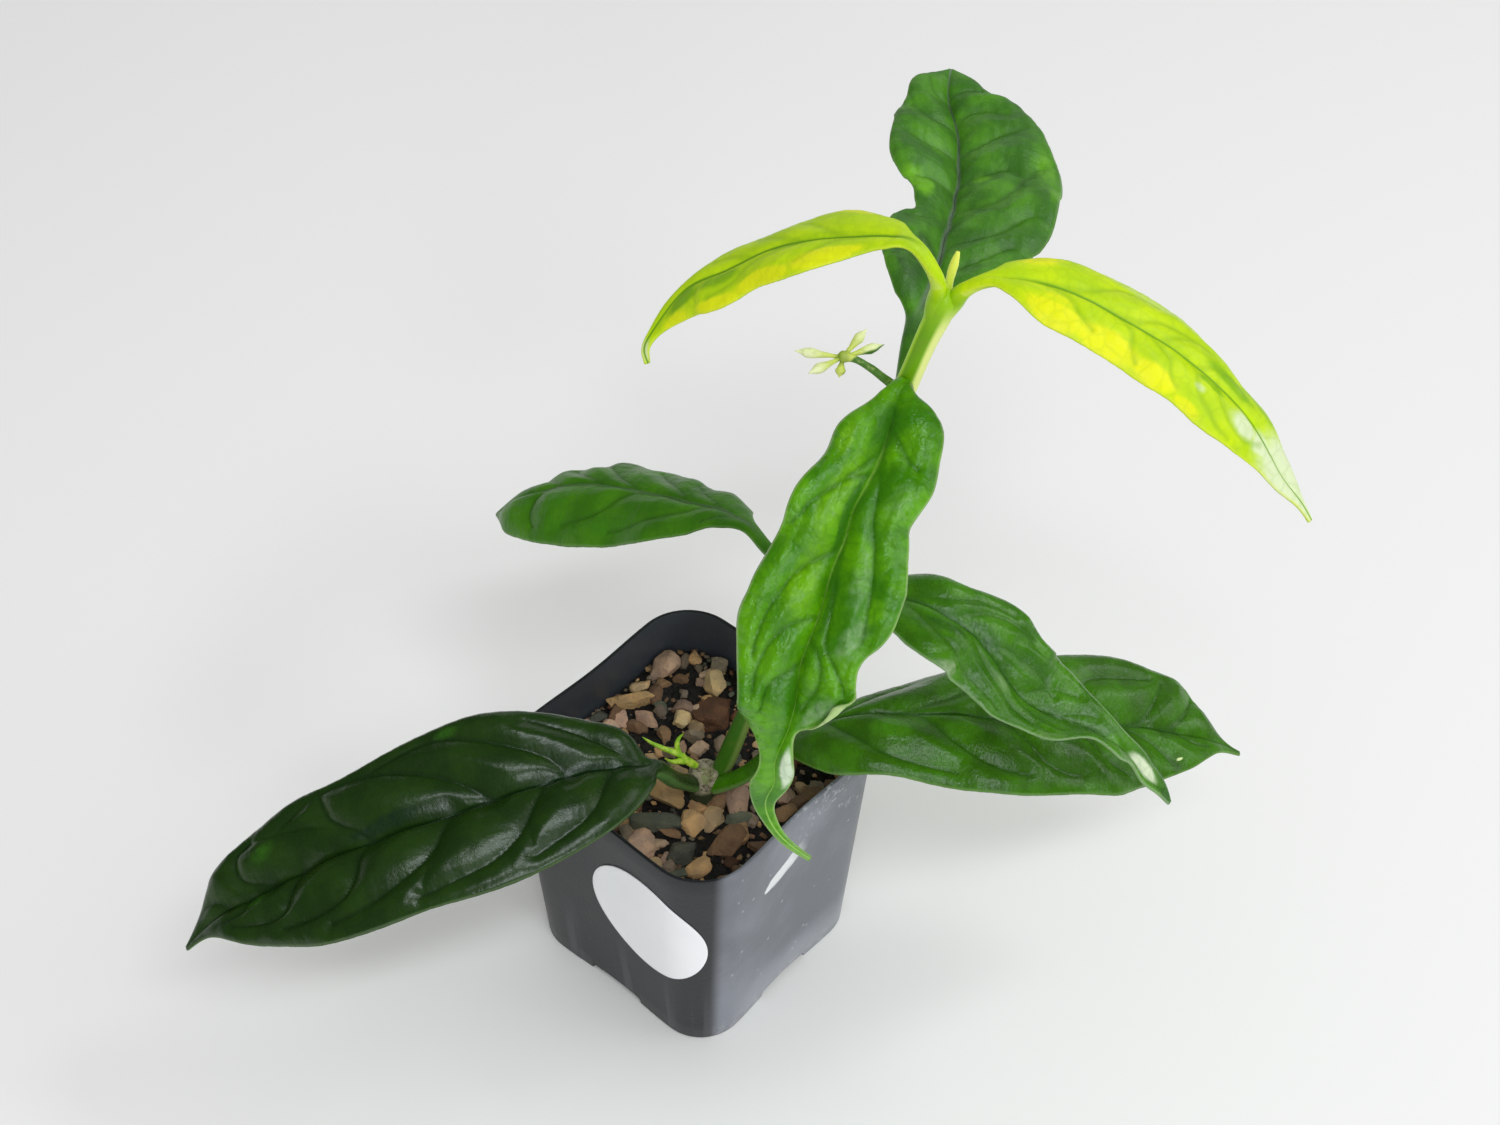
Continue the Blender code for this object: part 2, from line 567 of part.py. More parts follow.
def natural_curve(rows, count):
    """Natural cubic curve through the rows, spaced evenly by length; all columns follow it."""
    values = np.array(rows, dtype=float)
    spans = np.linalg.norm(np.diff(values[:, :3], axis=0), axis=1)
    knots = np.concatenate(([0.0], np.cumsum(spans)))
    size = len(values)
    system = np.eye(size)
    right = np.zeros_like(values)
    for i in range(1, size - 1):
        before, after = spans[i - 1], spans[i]
        system[i, i - 1:i + 2] = before, 2 * (before + after), after
        right[i] = 6 * ((values[i + 1] - values[i]) / after - (values[i] - values[i - 1]) / before)
    bend = np.linalg.solve(system, right)
    places = np.linspace(0, knots[-1], count)
    i = np.clip(np.searchsorted(knots, places) - 1, 0, size - 2)
    span = spans[i][:, None]
    p = (places - knots[i])[:, None]
    q = span - p
    cubic = (bend[i] * q ** 3 + bend[i + 1] * p ** 3) / (6 * span)
    before = values[i] / span - bend[i] * span / 6
    after = values[i + 1] / span - bend[i + 1] * span / 6
    return cubic + before * q + after * p


def unit(vectors):
    return vectors / np.linalg.norm(vectors, axis=-1, keepdims=True)


def tube(rows, count, sides, swell=0.0):
    """Closed tube along the rows; swell is added to its radius."""
    line = natural_curve(rows, count)
    along = unit(np.gradient(line[:, :3], axis=0))
    side = unit(np.cross(along, (0.31, -0.95, 0.05)))
    up = np.cross(side, along)
    rings = []
    for place, s, u, radius in zip(line[:, :3], side, up, line[:, 3]):
        ring = []
        for i in range(sides):
            a = 2 * math.pi * i / sides
            ring.append(Vector(place + (s * math.cos(a) + u * math.sin(a)) * (radius + swell)))
        rings.append(ring)
    return loft(rings)


def make_stem(mat, swell=0.0):
    stump = add_object("stump", tube(STUMP, 7, STEM_SIDES, swell), mat)
    shoot = add_object("shoot", tube(STEM, 24, STEM_SIDES, swell), mat)
    stem = join_all("stem", [stump, shoot], mat)
    turn_plant(stem)
    return stem


def leaf_rings(rows, face, petiole, waves):
    """Sections along a leaf: a round petiole that flattens into a waved blade with a keel below."""
    line = natural_curve(rows, LEAF_STEPS)
    place = line[:, :3]
    along = unit(np.gradient(place, axis=0))
    side = unit(np.cross(along, np.array(face, dtype=float)))
    up = np.cross(side, along)
    t = np.linspace(0, 1, LEAF_STEPS)
    flat = np.clip(((line[:, 3] + line[:, 4]) / 2 - petiole) / FLATTEN, 0, 1)
    flat = np.maximum.accumulate(flat)
    columns = []
    for v in ACROSS:
        hand = 1 if v > 0 else 0
        sign = 1 if v > 0 else -1
        reach = np.maximum(line[:, 3 + hand], 0.6)
        lift = np.radians(line[:, 5 + hand])
        out = abs(v) * reach
        count, height, start = waves[hand]
        arch = ARCH * reach * abs(v) * (1 - abs(v))
        wave = height * np.minimum(reach / 12, 1) * abs(v) ** 1.6 * np.sin(2 * math.pi * (count * t + start))
        rise = out * np.sin(lift) + arch + wave
        columns.append(place + sign * side * (out * np.cos(lift))[:, None] + up * rise[:, None])
    sheet = np.stack(columns, axis=1)
    normal = unit(np.cross(np.gradient(sheet, axis=1), np.gradient(sheet, axis=0)))
    keel = np.exp(-(np.abs(ACROSS) / KEEL_WIDTH) ** 2)[None, :] * (petiole * KEEL * (1 - t) ** 1.3)[:, None]
    top = sheet + normal * BLADE / 2
    below = sheet - normal * (BLADE / 2 + keel)[..., None]
    rings = []
    last = len(ACROSS)
    for k in range(LEAF_STEPS):
        ring = []
        for i in range(2 * last):
            a = math.pi * (1 - (i + 0.5) / last)
            blade = top[k, i] if i < last else below[k, 2 * last - 1 - i]
            stalk = place[k] + petiole * (side[k] * math.cos(a) + up[k] * math.sin(a))
            ring.append(Vector(stalk + (blade - stalk) * flat[k]))
        rings.append(ring)
    return rings


def make_leaf(name, leaf, stem_room):
    mat = material(name, leaf["colour"], 0.35)
    rings = leaf_rings(leaf["rows"], leaf["face"], leaf["petiole"], leaf["waves"])
    obj = add_object(name, loft(rings, blade=True), mat)
    turn_plant(obj)
    cut(obj, stem_room)
    return obj


def make_flowers(stem_room):
    mat = material("flower_stalk", (0.5, 0.58, 0.25), 0.5)
    parts = [add_object("stalk", tube(FLOWER_STALK, 9, 7), mat)]
    hub = Vector(HUB)
    outline = ((-0.06, 0.5), (0.35, 0.6), (0.62, 0.95), (0.85, 1.0), (1.0, 0.3))
    for tip in BUD_TIPS:
        reach = Vector(tip) - hub
        rows = [(*(hub + reach * share), radius) for share, radius in outline]
        parts.append(add_object("flower_bud", tube(rows, 7, 6), mat))
    flowers = join_all("flower_stalk", parts, mat)
    turn_plant(flowers)
    cut(flowers, stem_room)


def make_shoots(stem_room):
    mat = material("side_shoots", (0.16, 0.32, 0.04), 0.45)
    parts = [add_object("side_shoot", tube(rows, 7, 7), mat) for rows in SHOOTS]
    shoots = join_all("side_shoots", parts, mat)
    turn_plant(shoots)
    cut(shoots, stem_room)


def make_bud(stem_room):
    mat = material("tip_bud", (0.4, 0.55, 0.08), 0.45)
    bud = add_object("tip_bud", tube(TIP_BUD, 8, 8), mat)
    turn_plant(bud)
    cut(bud, stem_room)


def main():
    clear_scene()
    make_pot()
    make_label()
    stem_mat = material("stem", (0.08, 0.2, 0.02), 0.45)
    make_stem(stem_mat)
    stem_room = make_stem(stem_mat, GAP)
    stem_room.name = "stem_room"
    mix = make_mix()
    cut(mix, stem_room)
    for name, leaf in LEAVES.items():
        make_leaf(name, leaf, stem_room)
    make_flowers(stem_room)
    make_shoots(stem_room)
    make_bud(stem_room)


main()
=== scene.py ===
"""Potted hoya: the finished look of the plant, its pot and its gravel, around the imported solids.

Metres, +Z up, the pot's foot on the floor. Sizes in the sections are millimetres and become metres
through MM. The plant's own frame (x to the right of the picture, y away from it, z up) is turned by
PLANT_TURN from the pot's.
"""

import math
import random

import bmesh
import bpy
import numpy as np
from mathutils import Matrix, Vector, noise


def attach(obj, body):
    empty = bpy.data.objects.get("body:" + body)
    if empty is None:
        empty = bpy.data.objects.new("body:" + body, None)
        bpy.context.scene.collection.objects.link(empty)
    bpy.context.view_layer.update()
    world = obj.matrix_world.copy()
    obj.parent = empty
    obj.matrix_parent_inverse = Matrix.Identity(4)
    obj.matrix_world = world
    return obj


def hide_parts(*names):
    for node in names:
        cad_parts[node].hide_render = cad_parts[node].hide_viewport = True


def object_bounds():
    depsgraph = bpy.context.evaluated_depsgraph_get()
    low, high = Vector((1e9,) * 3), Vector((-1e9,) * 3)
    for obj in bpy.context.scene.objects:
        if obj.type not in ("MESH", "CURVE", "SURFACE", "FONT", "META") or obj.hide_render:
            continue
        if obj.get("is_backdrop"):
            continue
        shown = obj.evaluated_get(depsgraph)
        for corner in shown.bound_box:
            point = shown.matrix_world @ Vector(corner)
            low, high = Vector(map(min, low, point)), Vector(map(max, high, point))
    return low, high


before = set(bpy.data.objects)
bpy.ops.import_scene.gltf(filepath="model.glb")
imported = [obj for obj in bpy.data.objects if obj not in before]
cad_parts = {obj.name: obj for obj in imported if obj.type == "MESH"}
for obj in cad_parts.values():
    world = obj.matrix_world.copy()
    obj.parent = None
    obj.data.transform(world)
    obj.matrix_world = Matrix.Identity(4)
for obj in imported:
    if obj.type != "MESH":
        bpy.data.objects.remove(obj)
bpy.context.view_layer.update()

# Floor, light and camera
# A plain pale table top in a bright room, with soft windows to the right and behind, and two narrow ones
# in front that lay the gloss on the leaves. The camera looks down at the pot's front corner.

PLANT_TURN = 40.0
FLOOR_SIZE = 8.0
LIGHT_AIM = (0.02, 0.0, 0.1)
# Name, place in the plant's frame and size in metres, power in watts, colour
WINDOWS = [
    ("window_right", (1.45, -0.05, 0.95), (0.9, 0.9), 4.2, (0.98, 0.99, 1.0)),
    ("window_back", (0.2, 1.9, 0.85), (2.2, 0.8), 3.5, (0.98, 0.99, 1.0)),
    ("window_high", (0.95, 0.25, 1.3), (0.25, 0.4), 3.0, (0.96, 0.98, 1.0)),
    ("window_front", (0.26, -0.78, 1.42), (0.95, 0.17), 7.5, (0.92, 0.96, 1.0)),
    ("window_low", (0.4, -1.4, 0.77), (0.4, 0.2), 4.5, (0.92, 0.96, 1.0)),
]
ROOM_LIGHT = 0.55
ROOM_SHEEN = 0.03  # how bright the room's walls look in a glossy skin


def tint(code):
    """Linear colour of a paint code written as six hex digits."""
    parts = [int(code[i:i + 2], 16) / 255 for i in (0, 2, 4)]
    return tuple(p / 12.92 if p <= 0.04045 else ((p + 0.055) / 1.055) ** 2.4 for p in parts) + (1.0,)


def link(tree, start, end):
    """Join two sockets given as (node, socket name or number)."""
    tree.links.new(start[0].outputs[start[1]], end[0].inputs[end[1]])


def node(tree, kind, values=None, **settings):
    """Add a shader node with its settings and the values of its sockets."""
    made = tree.nodes.new(kind)
    for key, value in settings.items():
        setattr(made, key, value)
    for key, value in (values or {}).items():
        made.inputs[key].default_value = value
    return made


def new_material(name, roughness):
    """A material, its node tree and its Principled shader."""
    mat = bpy.data.materials.new(name)
    mat.use_nodes = True
    shader = mat.node_tree.nodes["Principled BSDF"]
    shader.inputs["Roughness"].default_value = roughness
    return mat, mat.node_tree, shader


def deselect():
    """Leave edit mode and select nothing."""
    if bpy.context.mode != "OBJECT":
        bpy.ops.object.mode_set(mode="OBJECT")
    bpy.ops.object.select_all(action="DESELECT")


deselect()
bpy.ops.mesh.primitive_plane_add(size=FLOOR_SIZE, location=(0, 0, 0))
floor = bpy.context.object
floor.name = "floor"
floor_paint, tree, shader = new_material("table_paint", 0.6)
shader.inputs["Base Color"].default_value = tint("f2f1ee")
floor.data.materials.append(floor_paint)
floor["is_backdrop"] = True


def window(name, place, size, power, colour):
    """A soft rectangular light that faces the middle of the plant."""
    light = bpy.data.lights.new(name, "AREA")
    light.shape = "RECTANGLE"
    light.size, light.size_y = size
    light.energy = power
    light.color = colour
    holder = bpy.data.objects.new(name, light)
    bpy.context.scene.collection.objects.link(holder)
    spot = Matrix.Rotation(math.radians(PLANT_TURN), 3, "Z") @ Vector(place)
    aim = Vector(LIGHT_AIM) - spot
    holder.location = spot
    holder.rotation_euler = aim.to_track_quat("-Z", "Y").to_euler()


for row in WINDOWS:
    window(*row)

# The walls of the room light the plant from all round but show only faintly in its glossy skin
room = bpy.data.worlds.new("room")
room.use_nodes = True
tree = room.node_tree
walls = tree.nodes["Background"]
walls.inputs["Color"].default_value = (0.98, 0.985, 1.0, 1.0)
ray = node(tree, "ShaderNodeLightPath")
seen = node(tree, "ShaderNodeMapRange", {"To Min": ROOM_LIGHT, "To Max": ROOM_SHEEN})
link(tree, (ray, "Is Glossy Ray"), (seen, "Value"))
link(tree, (seen, "Result"), (walls, "Strength"))
bpy.context.scene.world = room
bpy.context.scene.view_settings.view_transform = "Standard"

lens = bpy.data.cameras.new("camera")
lens.sensor_width = 36.0
lens.lens = 50.0
camera = bpy.data.objects.new("camera", lens)
camera.matrix_world = Matrix((
    (0.75733, -0.46115, 0.46238, 0.2108),
    (0.65289, 0.51970, -0.55105, -0.2326),
    (0.01381, 0.71922, 0.69466, 0.4252),
    (0.0, 0.0, 0.0, 1.0),
))
bpy.context.scene.collection.objects.link(camera)
bpy.context.scene.camera = camera

# Pot
# A square nursery pot of thin black polypropylene, injection moulded, with round corners, sides that
# bow inwards and a drain slot in the lower edge of each side. Its right side is painted grey, partly for
# its scuffing and partly as painted light from the window on that side.

MM = 0.001
POT_TOP = 66.0
POT_FOOT = 58.0
POT_HEIGHT = 66.5
POT_WALL = 1.0
POT_FLOOR = 1.2
CORNER_TOP = 13.0
CORNER_FOOT = 11.0
SIDE_BOW = 0.7
CORNER_STEPS = 14
SIDE_STEPS = 22
SLOT_WIDTH = 16.0
SLOT_HEIGHT = 2.0
SLOT_REACH = 5.5
SLOT_ROUND = 0.9
CREASE = 35.0  # degrees past which an edge of the pot stays sharp


def blend(a, b, t):
    """The value a share t of the way from a to b."""
    return a + (b - a) * t


def pot_outline(z, inset):
    """Rounded square at height z, drawn in from the outer face by inset, sides bowed inwards."""
    rise = min(max(z / POT_HEIGHT, 0.0), 1.0)
    half = blend(POT_FOOT, POT_TOP, rise) / 2 - inset
    corner = max(blend(CORNER_FOOT, CORNER_TOP, rise) - inset, 1.0)
    quarter = []
    for i in range(SIDE_STEPS):
        t = -1 + 2 * i / SIDE_STEPS
        bow = SIDE_BOW * (0.5 + 0.5 * math.cos(math.pi * t))
        quarter.append((half - bow, t * (half - corner)))
    for i in range(CORNER_STEPS):
        a = math.pi / 2 * i / CORNER_STEPS
        quarter.append((half - corner + corner * math.cos(a), half - corner + corner * math.sin(a)))
    points = []
    for c, s in ((1, 0), (0, 1), (-1, 0), (0, -1)):
        points += [Vector((c * x - s * y, s * x + c * y, z)) * MM for x, y in quarter]
    return points


def choose(*pieces):
    """Select only these pieces and make the first one active."""
    deselect()
    for piece in pieces:
        piece.select_set(True)
    bpy.context.view_layer.objects.active = pieces[0]


def edit_whole():
    """Enter edit mode with the whole mesh selected."""
    bpy.ops.object.mode_set(mode="EDIT")
    bpy.ops.mesh.select_all(action="SELECT")


def close_mesh():
    """Turn every face outwards and leave edit mode."""
    bpy.ops.mesh.select_all(action="SELECT")
    bpy.ops.mesh.normals_make_consistent(inside=False)
    bpy.ops.object.mode_set(mode="OBJECT")


def round_order(points):
    """The points in order round the pot's axis."""
    return sorted(points, key=lambda p: math.atan2(p[1], p[0]) % (2 * math.pi - 1e-6))


def set_ring(z, inset):
    """Move the selected ring of vertices onto the pot's outline."""
    edit = bmesh.from_edit_mesh(bpy.context.object.data)
    ring = [v for v in edit.verts if v.select]
    ring.sort(key=lambda v: math.atan2(v.co.y, v.co.x) % (2 * math.pi - 1e-6))
    for vertex, point in zip(ring, round_order(pot_outline(z, inset))):
        vertex.co = point
    bmesh.update_edit_mesh(bpy.context.object.data)


def wall_profile():
    """Heights and insets up the outer face, over the rounded rim and down the inner face."""
    rows = [(0.0, 0.9), (0.05, 0.45), (0.2, 0.15), (0.5, 0.0)]
    rows += [(POT_HEIGHT * i / 12, 0.0) for i in range(1, 12)]
    rows += [(POT_HEIGHT - 0.5, 0.0), (POT_HEIGHT - 0.15, 0.12), (POT_HEIGHT, 0.4)]
    rows += [(POT_HEIGHT, 0.6), (POT_HEIGHT - 0.15, 0.88), (POT_HEIGHT - 0.5, POT_WALL)]
    rows += [(POT_HEIGHT * i / 12, POT_WALL) for i in range(11, 0, -1)]
    rows += [(POT_FLOOR + 1.0, POT_WALL), (POT_FLOOR + 0.2, POT_WALL + 0.4), (POT_FLOOR, POT_WALL + 1.2)]
    return rows


deselect()
bpy.ops.mesh.primitive_circle_add(vertices=4 * (SIDE_STEPS + CORNER_STEPS), radius=0.03, fill_type="NOTHING")
pot = bpy.context.object
pot.name = "pot_shell"
edit_whole()
profile = wall_profile()
set_ring(*profile[0])
bpy.ops.mesh.edge_face_add()
bpy.ops.mesh.select_mode(type="EDGE")
for z, inset in profile[1:]:
    bpy.ops.mesh.extrude_edges_move()
    set_ring(z, inset)
bpy.ops.mesh.edge_face_add()
close_mesh()

for turn in range(4):
    deselect()
    bpy.ops.mesh.primitive_cube_add(size=1.0)
    cutter = bpy.context.object
    cutter.scale = (2 * SLOT_REACH * MM, SLOT_WIDTH * MM, 2 * SLOT_HEIGHT * MM)
    reach = POT_FOOT / 2 * MM
    angle = turn * math.pi / 2
    cutter.rotation_euler = (0, 0, angle)
    cutter.location = (reach * math.cos(angle), reach * math.sin(angle), 0)
    bpy.ops.object.transform_apply(location=True, rotation=True, scale=True)
    edit_whole()
    bpy.ops.mesh.bevel(offset=SLOT_ROUND * MM, segments=3, affect="EDGES")
    bpy.ops.object.mode_set(mode="OBJECT")
    choose(pot)
    slot = pot.modifiers.new("drain_slot", "BOOLEAN")
    slot.operation = "DIFFERENCE"
    slot.object = cutter
    slot.solver = "EXACT"
    bpy.ops.object.modifier_apply(modifier=slot.name)
    bpy.data.objects.remove(cutter, do_unlink=True)
bpy.ops.object.shade_smooth_by_angle(angle=math.radians(CREASE))


def math_node(tree, operation, a, b=0.0, c=0.0, clamp=False):
    """A Math node; each of its values is a number or (node, socket)."""
    made = tree.nodes.new("ShaderNodeMath")
    made.operation = operation
    made.use_clamp = clamp
    for i, value in enumerate((a, b, c)):
        if isinstance(value, tuple):
            link(tree, value, (made, i))
        else:
            made.inputs[i].default_value = value
    return (made, 0)


def times(tree, first, *others):
    """Product of masks and numbers."""
    for other in others:
        first = math_node(tree, "MULTIPLY", first, other)
    return first


def band(tree, value, low, high, out_low=0.0, out_high=1.0):
    """Smooth step of a value between low and high."""
    ends = {"From Min": low, "From Max": high, "To Min": out_low, "To Max": out_high}
    made = node(tree, "ShaderNodeMapRange", ends, interpolation_type="SMOOTHSTEP")
    link(tree, value, (made, "Value"))
    return (made, "Result")


def mix_colour(tree, share, a, b, mode="MIX"):
    """Mix of two colours by a share; a colour is a paint code, a tuple of four or (node, socket)."""
    made = node(tree, "ShaderNodeMix", data_type="RGBA", blend_type=mode)
    for socket, value in ((0, share), (6, a), (7, b)):
        if isinstance(value, str):
            value = tint(value)
        if isinstance(value, tuple) and len(value) == 2:
            link(tree, value, (made, socket))
        else:
            made.inputs[socket].default_value = value
    return (made, 2)


def noise_mask(tree, place, scale, detail, roughness=0.5):
    """Cloudy noise between 0 and 1 on a place, with scale patterns to its unit."""
    made = node(tree, "ShaderNodeTexNoise", {"Scale": scale, "Detail": detail, "Roughness": roughness})
    link(tree, place, (made, "Vector"))
    return (made, "Fac")


def cell_mask(tree, place, scale, feature="F1"):
    """Distance from the middle, or else the edge, of scattered cells on a place."""
    made = node(tree, "ShaderNodeTexVoronoi", {"Scale": scale}, feature=feature)
    link(tree, place, (made, "Vector"))
    return (made, "Distance")


def vector_node(tree, operation, a, b):
    """A Vector Math node on a (node, socket) and a second one or a fixed vector."""
    made = node(tree, "ShaderNodeVectorMath", operation=operation)
    link(tree, a, (made, 0))
    if len(b) == 2:
        link(tree, b, (made, 1))
    else:
        made.inputs[1].default_value = b
    return (made, "Value" if operation in ("DOT_PRODUCT", "DISTANCE") else "Vector")


def on_piece(tree):
    """The place on the piece in metres, whole and as a node that splits it into X, Y and Z."""
    where = (node(tree, "ShaderNodeTexCoord"), "Object")
    split = node(tree, "ShaderNodeSeparateXYZ")
    link(tree, where, (split, 0))
    return where, split


def surface(tree, shader, colour, height, depth, dull=None):
    """Give a shader its colour, a relief where height 1 is depth millimetres, and its roughness if any."""
    made = node(tree, "ShaderNodeBump", {"Strength": 1.0, "Distance": depth * MM})
    link(tree, height, (made, "Height"))
    link(tree, (made, "Normal"), (shader, "Normal"))
    link(tree, colour, (shader, "Base Color"))
    if dull:
        link(tree, dull, (shader, "Roughness"))


WALL_LEAN = (POT_TOP - POT_FOOT) / 2 / POT_HEIGHT
SCRATCH_MIDDLE = (0.0, -5.4, 49.4)
SCRATCH_TURN = 17.8

plastic, tree, shader = new_material("pot_plastic", 0.42)
shader.inputs["Specular IOR Level"].default_value = 0.42
where, split = on_piece(tree)
across, height = (split, "Y"), (split, "Z")
grain = noise_mask(tree, where, 900, 3)
cloud = noise_mask(tree, where, 45, 4)
speck = noise_mask(tree, where, 420, 6, 0.75)
on_right = math_node(tree, "MULTIPLY_ADD", height, -WALL_LEAN, (split, "X"))
on_right = band(tree, on_right, 26.3 * MM, 28.2 * MM)
outward = vector_node(tree, "DOT_PRODUCT", (node(tree, "ShaderNodeNewGeometry"), "Normal"), where)
inner = band(tree, outward, -4 * MM, -12 * MM)
colour = mix_colour(tree, cloud, "18191c", "222428")
colour = mix_colour(tree, inner, colour, "3c4046")
# The right side's grey: partly real scuffing, partly painted light, as if lit by the window on that side
scuffs_and_lit_side = math_node(tree, "SUBTRACT", on_right, inner, clamp=True)
scuffs_and_lit_side = times(tree, scuffs_and_lit_side, band(tree, cloud, 0.35, 0.65, 0.62, 1.0))
colour = mix_colour(tree, scuffs_and_lit_side, colour, "82858e")

# Faint upright streaks low down, a paler foot on the right side, and worn specks
streak = noise_mask(tree, vector_node(tree, "MULTIPLY", where, (1, 1, 0.05)), 260, 2)
streak = times(tree, band(tree, streak, 0.5, 0.68), band(tree, height, 30 * MM, 2 * MM), 0.12)
colour = mix_colour(tree, streak, colour, "9a9da4")
pale = times(tree, band(tree, height, 17 * MM, 3 * MM), on_right, band(tree, across, -22 * MM, -12 * MM), 0.4)
colour = mix_colour(tree, pale, colour, "b4b6bc")
upper = times(tree, band(tree, height, 46 * MM, 58 * MM), band(tree, across, -12 * MM, 6 * MM),
              band(tree, speck, 0.54, 0.64))
foot = times(tree, band(tree, height, 7 * MM, 1 * MM), band(tree, speck, 0.48, 0.64))
lone = band(tree, cell_mask(tree, where, 200), 0.12, 0.05)
worn = math_node(tree, "MAXIMUM", math_node(tree, "MAXIMUM", upper, foot), lone)
worn = times(tree, worn, on_right)
colour = mix_colour(tree, times(tree, worn, 0.6), colour, "c6c8cd")

# The one long scratch on the right side, sharp at its lower end and brushed out at the upper end
slant = {"Angle": math.radians(SCRATCH_TURN)}
turned = node(tree, "ShaderNodeVectorRotate", slant, rotation_type="X_AXIS", invert=True)
middle = tuple(part * MM for part in SCRATCH_MIDDLE)
link(tree, vector_node(tree, "SUBTRACT", where, middle), (turned, "Vector"))
scratch = node(tree, "ShaderNodeSeparateXYZ")
link(tree, (turned, 0), (scratch, 0))
run = (scratch, "Y")
bristle = noise_mask(tree, vector_node(tree, "MULTIPLY", (turned, 0), (1, 0.12, 1)), 1800, 3)
width = times(tree, band(tree, run, -7 * MM, -3 * MM, 0.8, 2.6), MM)
line = math_node(tree, "DIVIDE", math_node(tree, "ABSOLUTE", (scratch, "Z")), width)
line = math_node(tree, "MULTIPLY_ADD", bristle, 1.2, math_node(tree, "SUBTRACT", line, 0.6))
line = times(tree, band(tree, line, 1.0, 0.6), band(tree, run, -6.8 * MM, -6.2 * MM),
             band(tree, run, 9.5 * MM, 3 * MM), on_right, 0.95)
colour = mix_colour(tree, line, colour, "f0f1f3")
dull = math_node(tree, "MULTIPLY_ADD", worn, 0.3, math_node(tree, "MULTIPLY_ADD", cloud, 0.12, 0.32))
surface(tree, shader, colour, grain, 0.05, dull)
pot.data.materials.append(plastic)
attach(pot, "root")
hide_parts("pot")

# Label
# A round white paper sticker, 33 mm across, pressed on the left front side and carried round the
# corner beside it. It is bare.

LABEL_RADIUS = 16.5
LABEL_ALONG = 13.0
LABEL_UP = 39.5
LABEL_OFF = 0.06
LABEL_THICK = 0.3
LABEL_RINGS = 14
RING_STEP = 1.1
CUT_EDGE = 0.08


def wall_point(along, z, off):
    """Point off the pot's outer face: along runs from the middle of the -Y side towards the +X side."""
    rise = z / POT_HEIGHT
    half = blend(POT_FOOT, POT_TOP, rise) / 2
    corner = blend(CORNER_FOOT, CORNER_TOP, rise)
    flat = half - corner
    if along <= flat:
        bow = SIDE_BOW * (0.5 + 0.5 * math.cos(math.pi * along / flat))
        return Vector((along, -(half - bow) - off, z)) * MM
    a = (along - flat) / corner
    reach = corner + off
    return Vector((flat + reach * math.sin(a), -flat - reach * math.cos(a), z)) * MM


deselect()
bpy.ops.mesh.primitive_circle_add(vertices=96, radius=LABEL_RADIUS, fill_type="NGON")
label = bpy.context.object
label.name = "label_sticker"
edit_whole()
for _ in range(LABEL_RINGS):
    bpy.ops.mesh.inset(thickness=RING_STEP)
bpy.ops.mesh.poke()
bpy.ops.object.mode_set(mode="OBJECT")
for vertex in label.data.vertices:
    vertex.co = wall_point(LABEL_ALONG + vertex.co.x, LABEL_UP + vertex.co.y, LABEL_OFF)
thick = label.modifiers.new("paper", "SOLIDIFY")
thick.thickness = LABEL_THICK * MM
thick.offset = 1.0
bpy.ops.object.modifier_apply(modifier=thick.name)
rim = label.modifiers.new("cut_edge", "BEVEL")
rim.width = CUT_EDGE * MM
rim.segments = 2
rim.limit_method = "ANGLE"
rim.angle_limit = math.radians(50)
bpy.ops.object.modifier_apply(modifier=rim.name)
bpy.ops.object.shade_smooth_by_angle(angle=math.radians(40))

paper, tree, shader = new_material("label_paper", 0.5)
where = (node(tree, "ShaderNodeTexCoord"), "Object")
fibre = noise_mask(tree, where, 1400, 4)
patch = noise_mask(tree, where, 60, 3)
colour = mix_colour(tree, patch, "f2f2f4", "fafafb")
surface(tree, shader, colour, fibre, 0.03, math_node(tree, "MULTIPLY_ADD", fibre, 0.2, 0.4))
label.data.materials.append(paper)
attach(label, "root")
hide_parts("label")

# Growing mix
# A nearly black, crumbly bark and peat mix that fills the pot to about a centimetre below its rim.

MIX_TOP = 54.5
MIX_CROWN = 1.5
MIX_INSET = POT_WALL + 0.15
MIX_CELLS = 150
CRUMB = 0.9  # height of the crumbs, whose larger lumps are about four millimetres apart
FINE_CRUMB = 0.7


def outline_reach(z, inset):
    """Angles round the pot's axis and the outline's reach at each."""
    points = round_order(pot_outline(z, inset))
    angles = [math.atan2(p[1], p[0]) % (2 * math.pi) for p in points]
    reaches = [math.hypot(p[0], p[1]) for p in points]
    return np.array(angles), np.array(reaches)


def wall_reach(outline, x, y):
    """Angle of x, y round the pot's axis, and how far the outline reaches there."""
    a = math.atan2(y, x) % (2 * math.pi)
    return a, np.interp(a, *outline, period=2 * math.pi)


deselect()
bpy.ops.mesh.primitive_grid_add(x_subdivisions=MIX_CELLS, y_subdivisions=MIX_CELLS, size=2.0)
mix = bpy.context.object
mix.name = "mix_bed"
outline = outline_reach(MIX_TOP, MIX_INSET)
for vertex in mix.data.vertices:
    x, y = vertex.co.x, vertex.co.y
    share = max(abs(x), abs(y))
    a, reach = wall_reach(outline, x, y)
    spot = Vector((reach * share * math.cos(a), reach * share * math.sin(a), 0))
    crumbs = noise.fractal(spot * 260, 0.8, 2.0, 4) * CRUMB + abs(noise.noise(spot * 700)) * FINE_CRUMB
    height = MIX_TOP + MIX_CROWN * (1 - share ** 4) - CRUMB + crumbs * min(1, (1 - share) * 12 + 0.2)
    vertex.co = (spot.x, spot.y, height * MM)
edit_whole()
bpy.ops.mesh.region_to_loop()
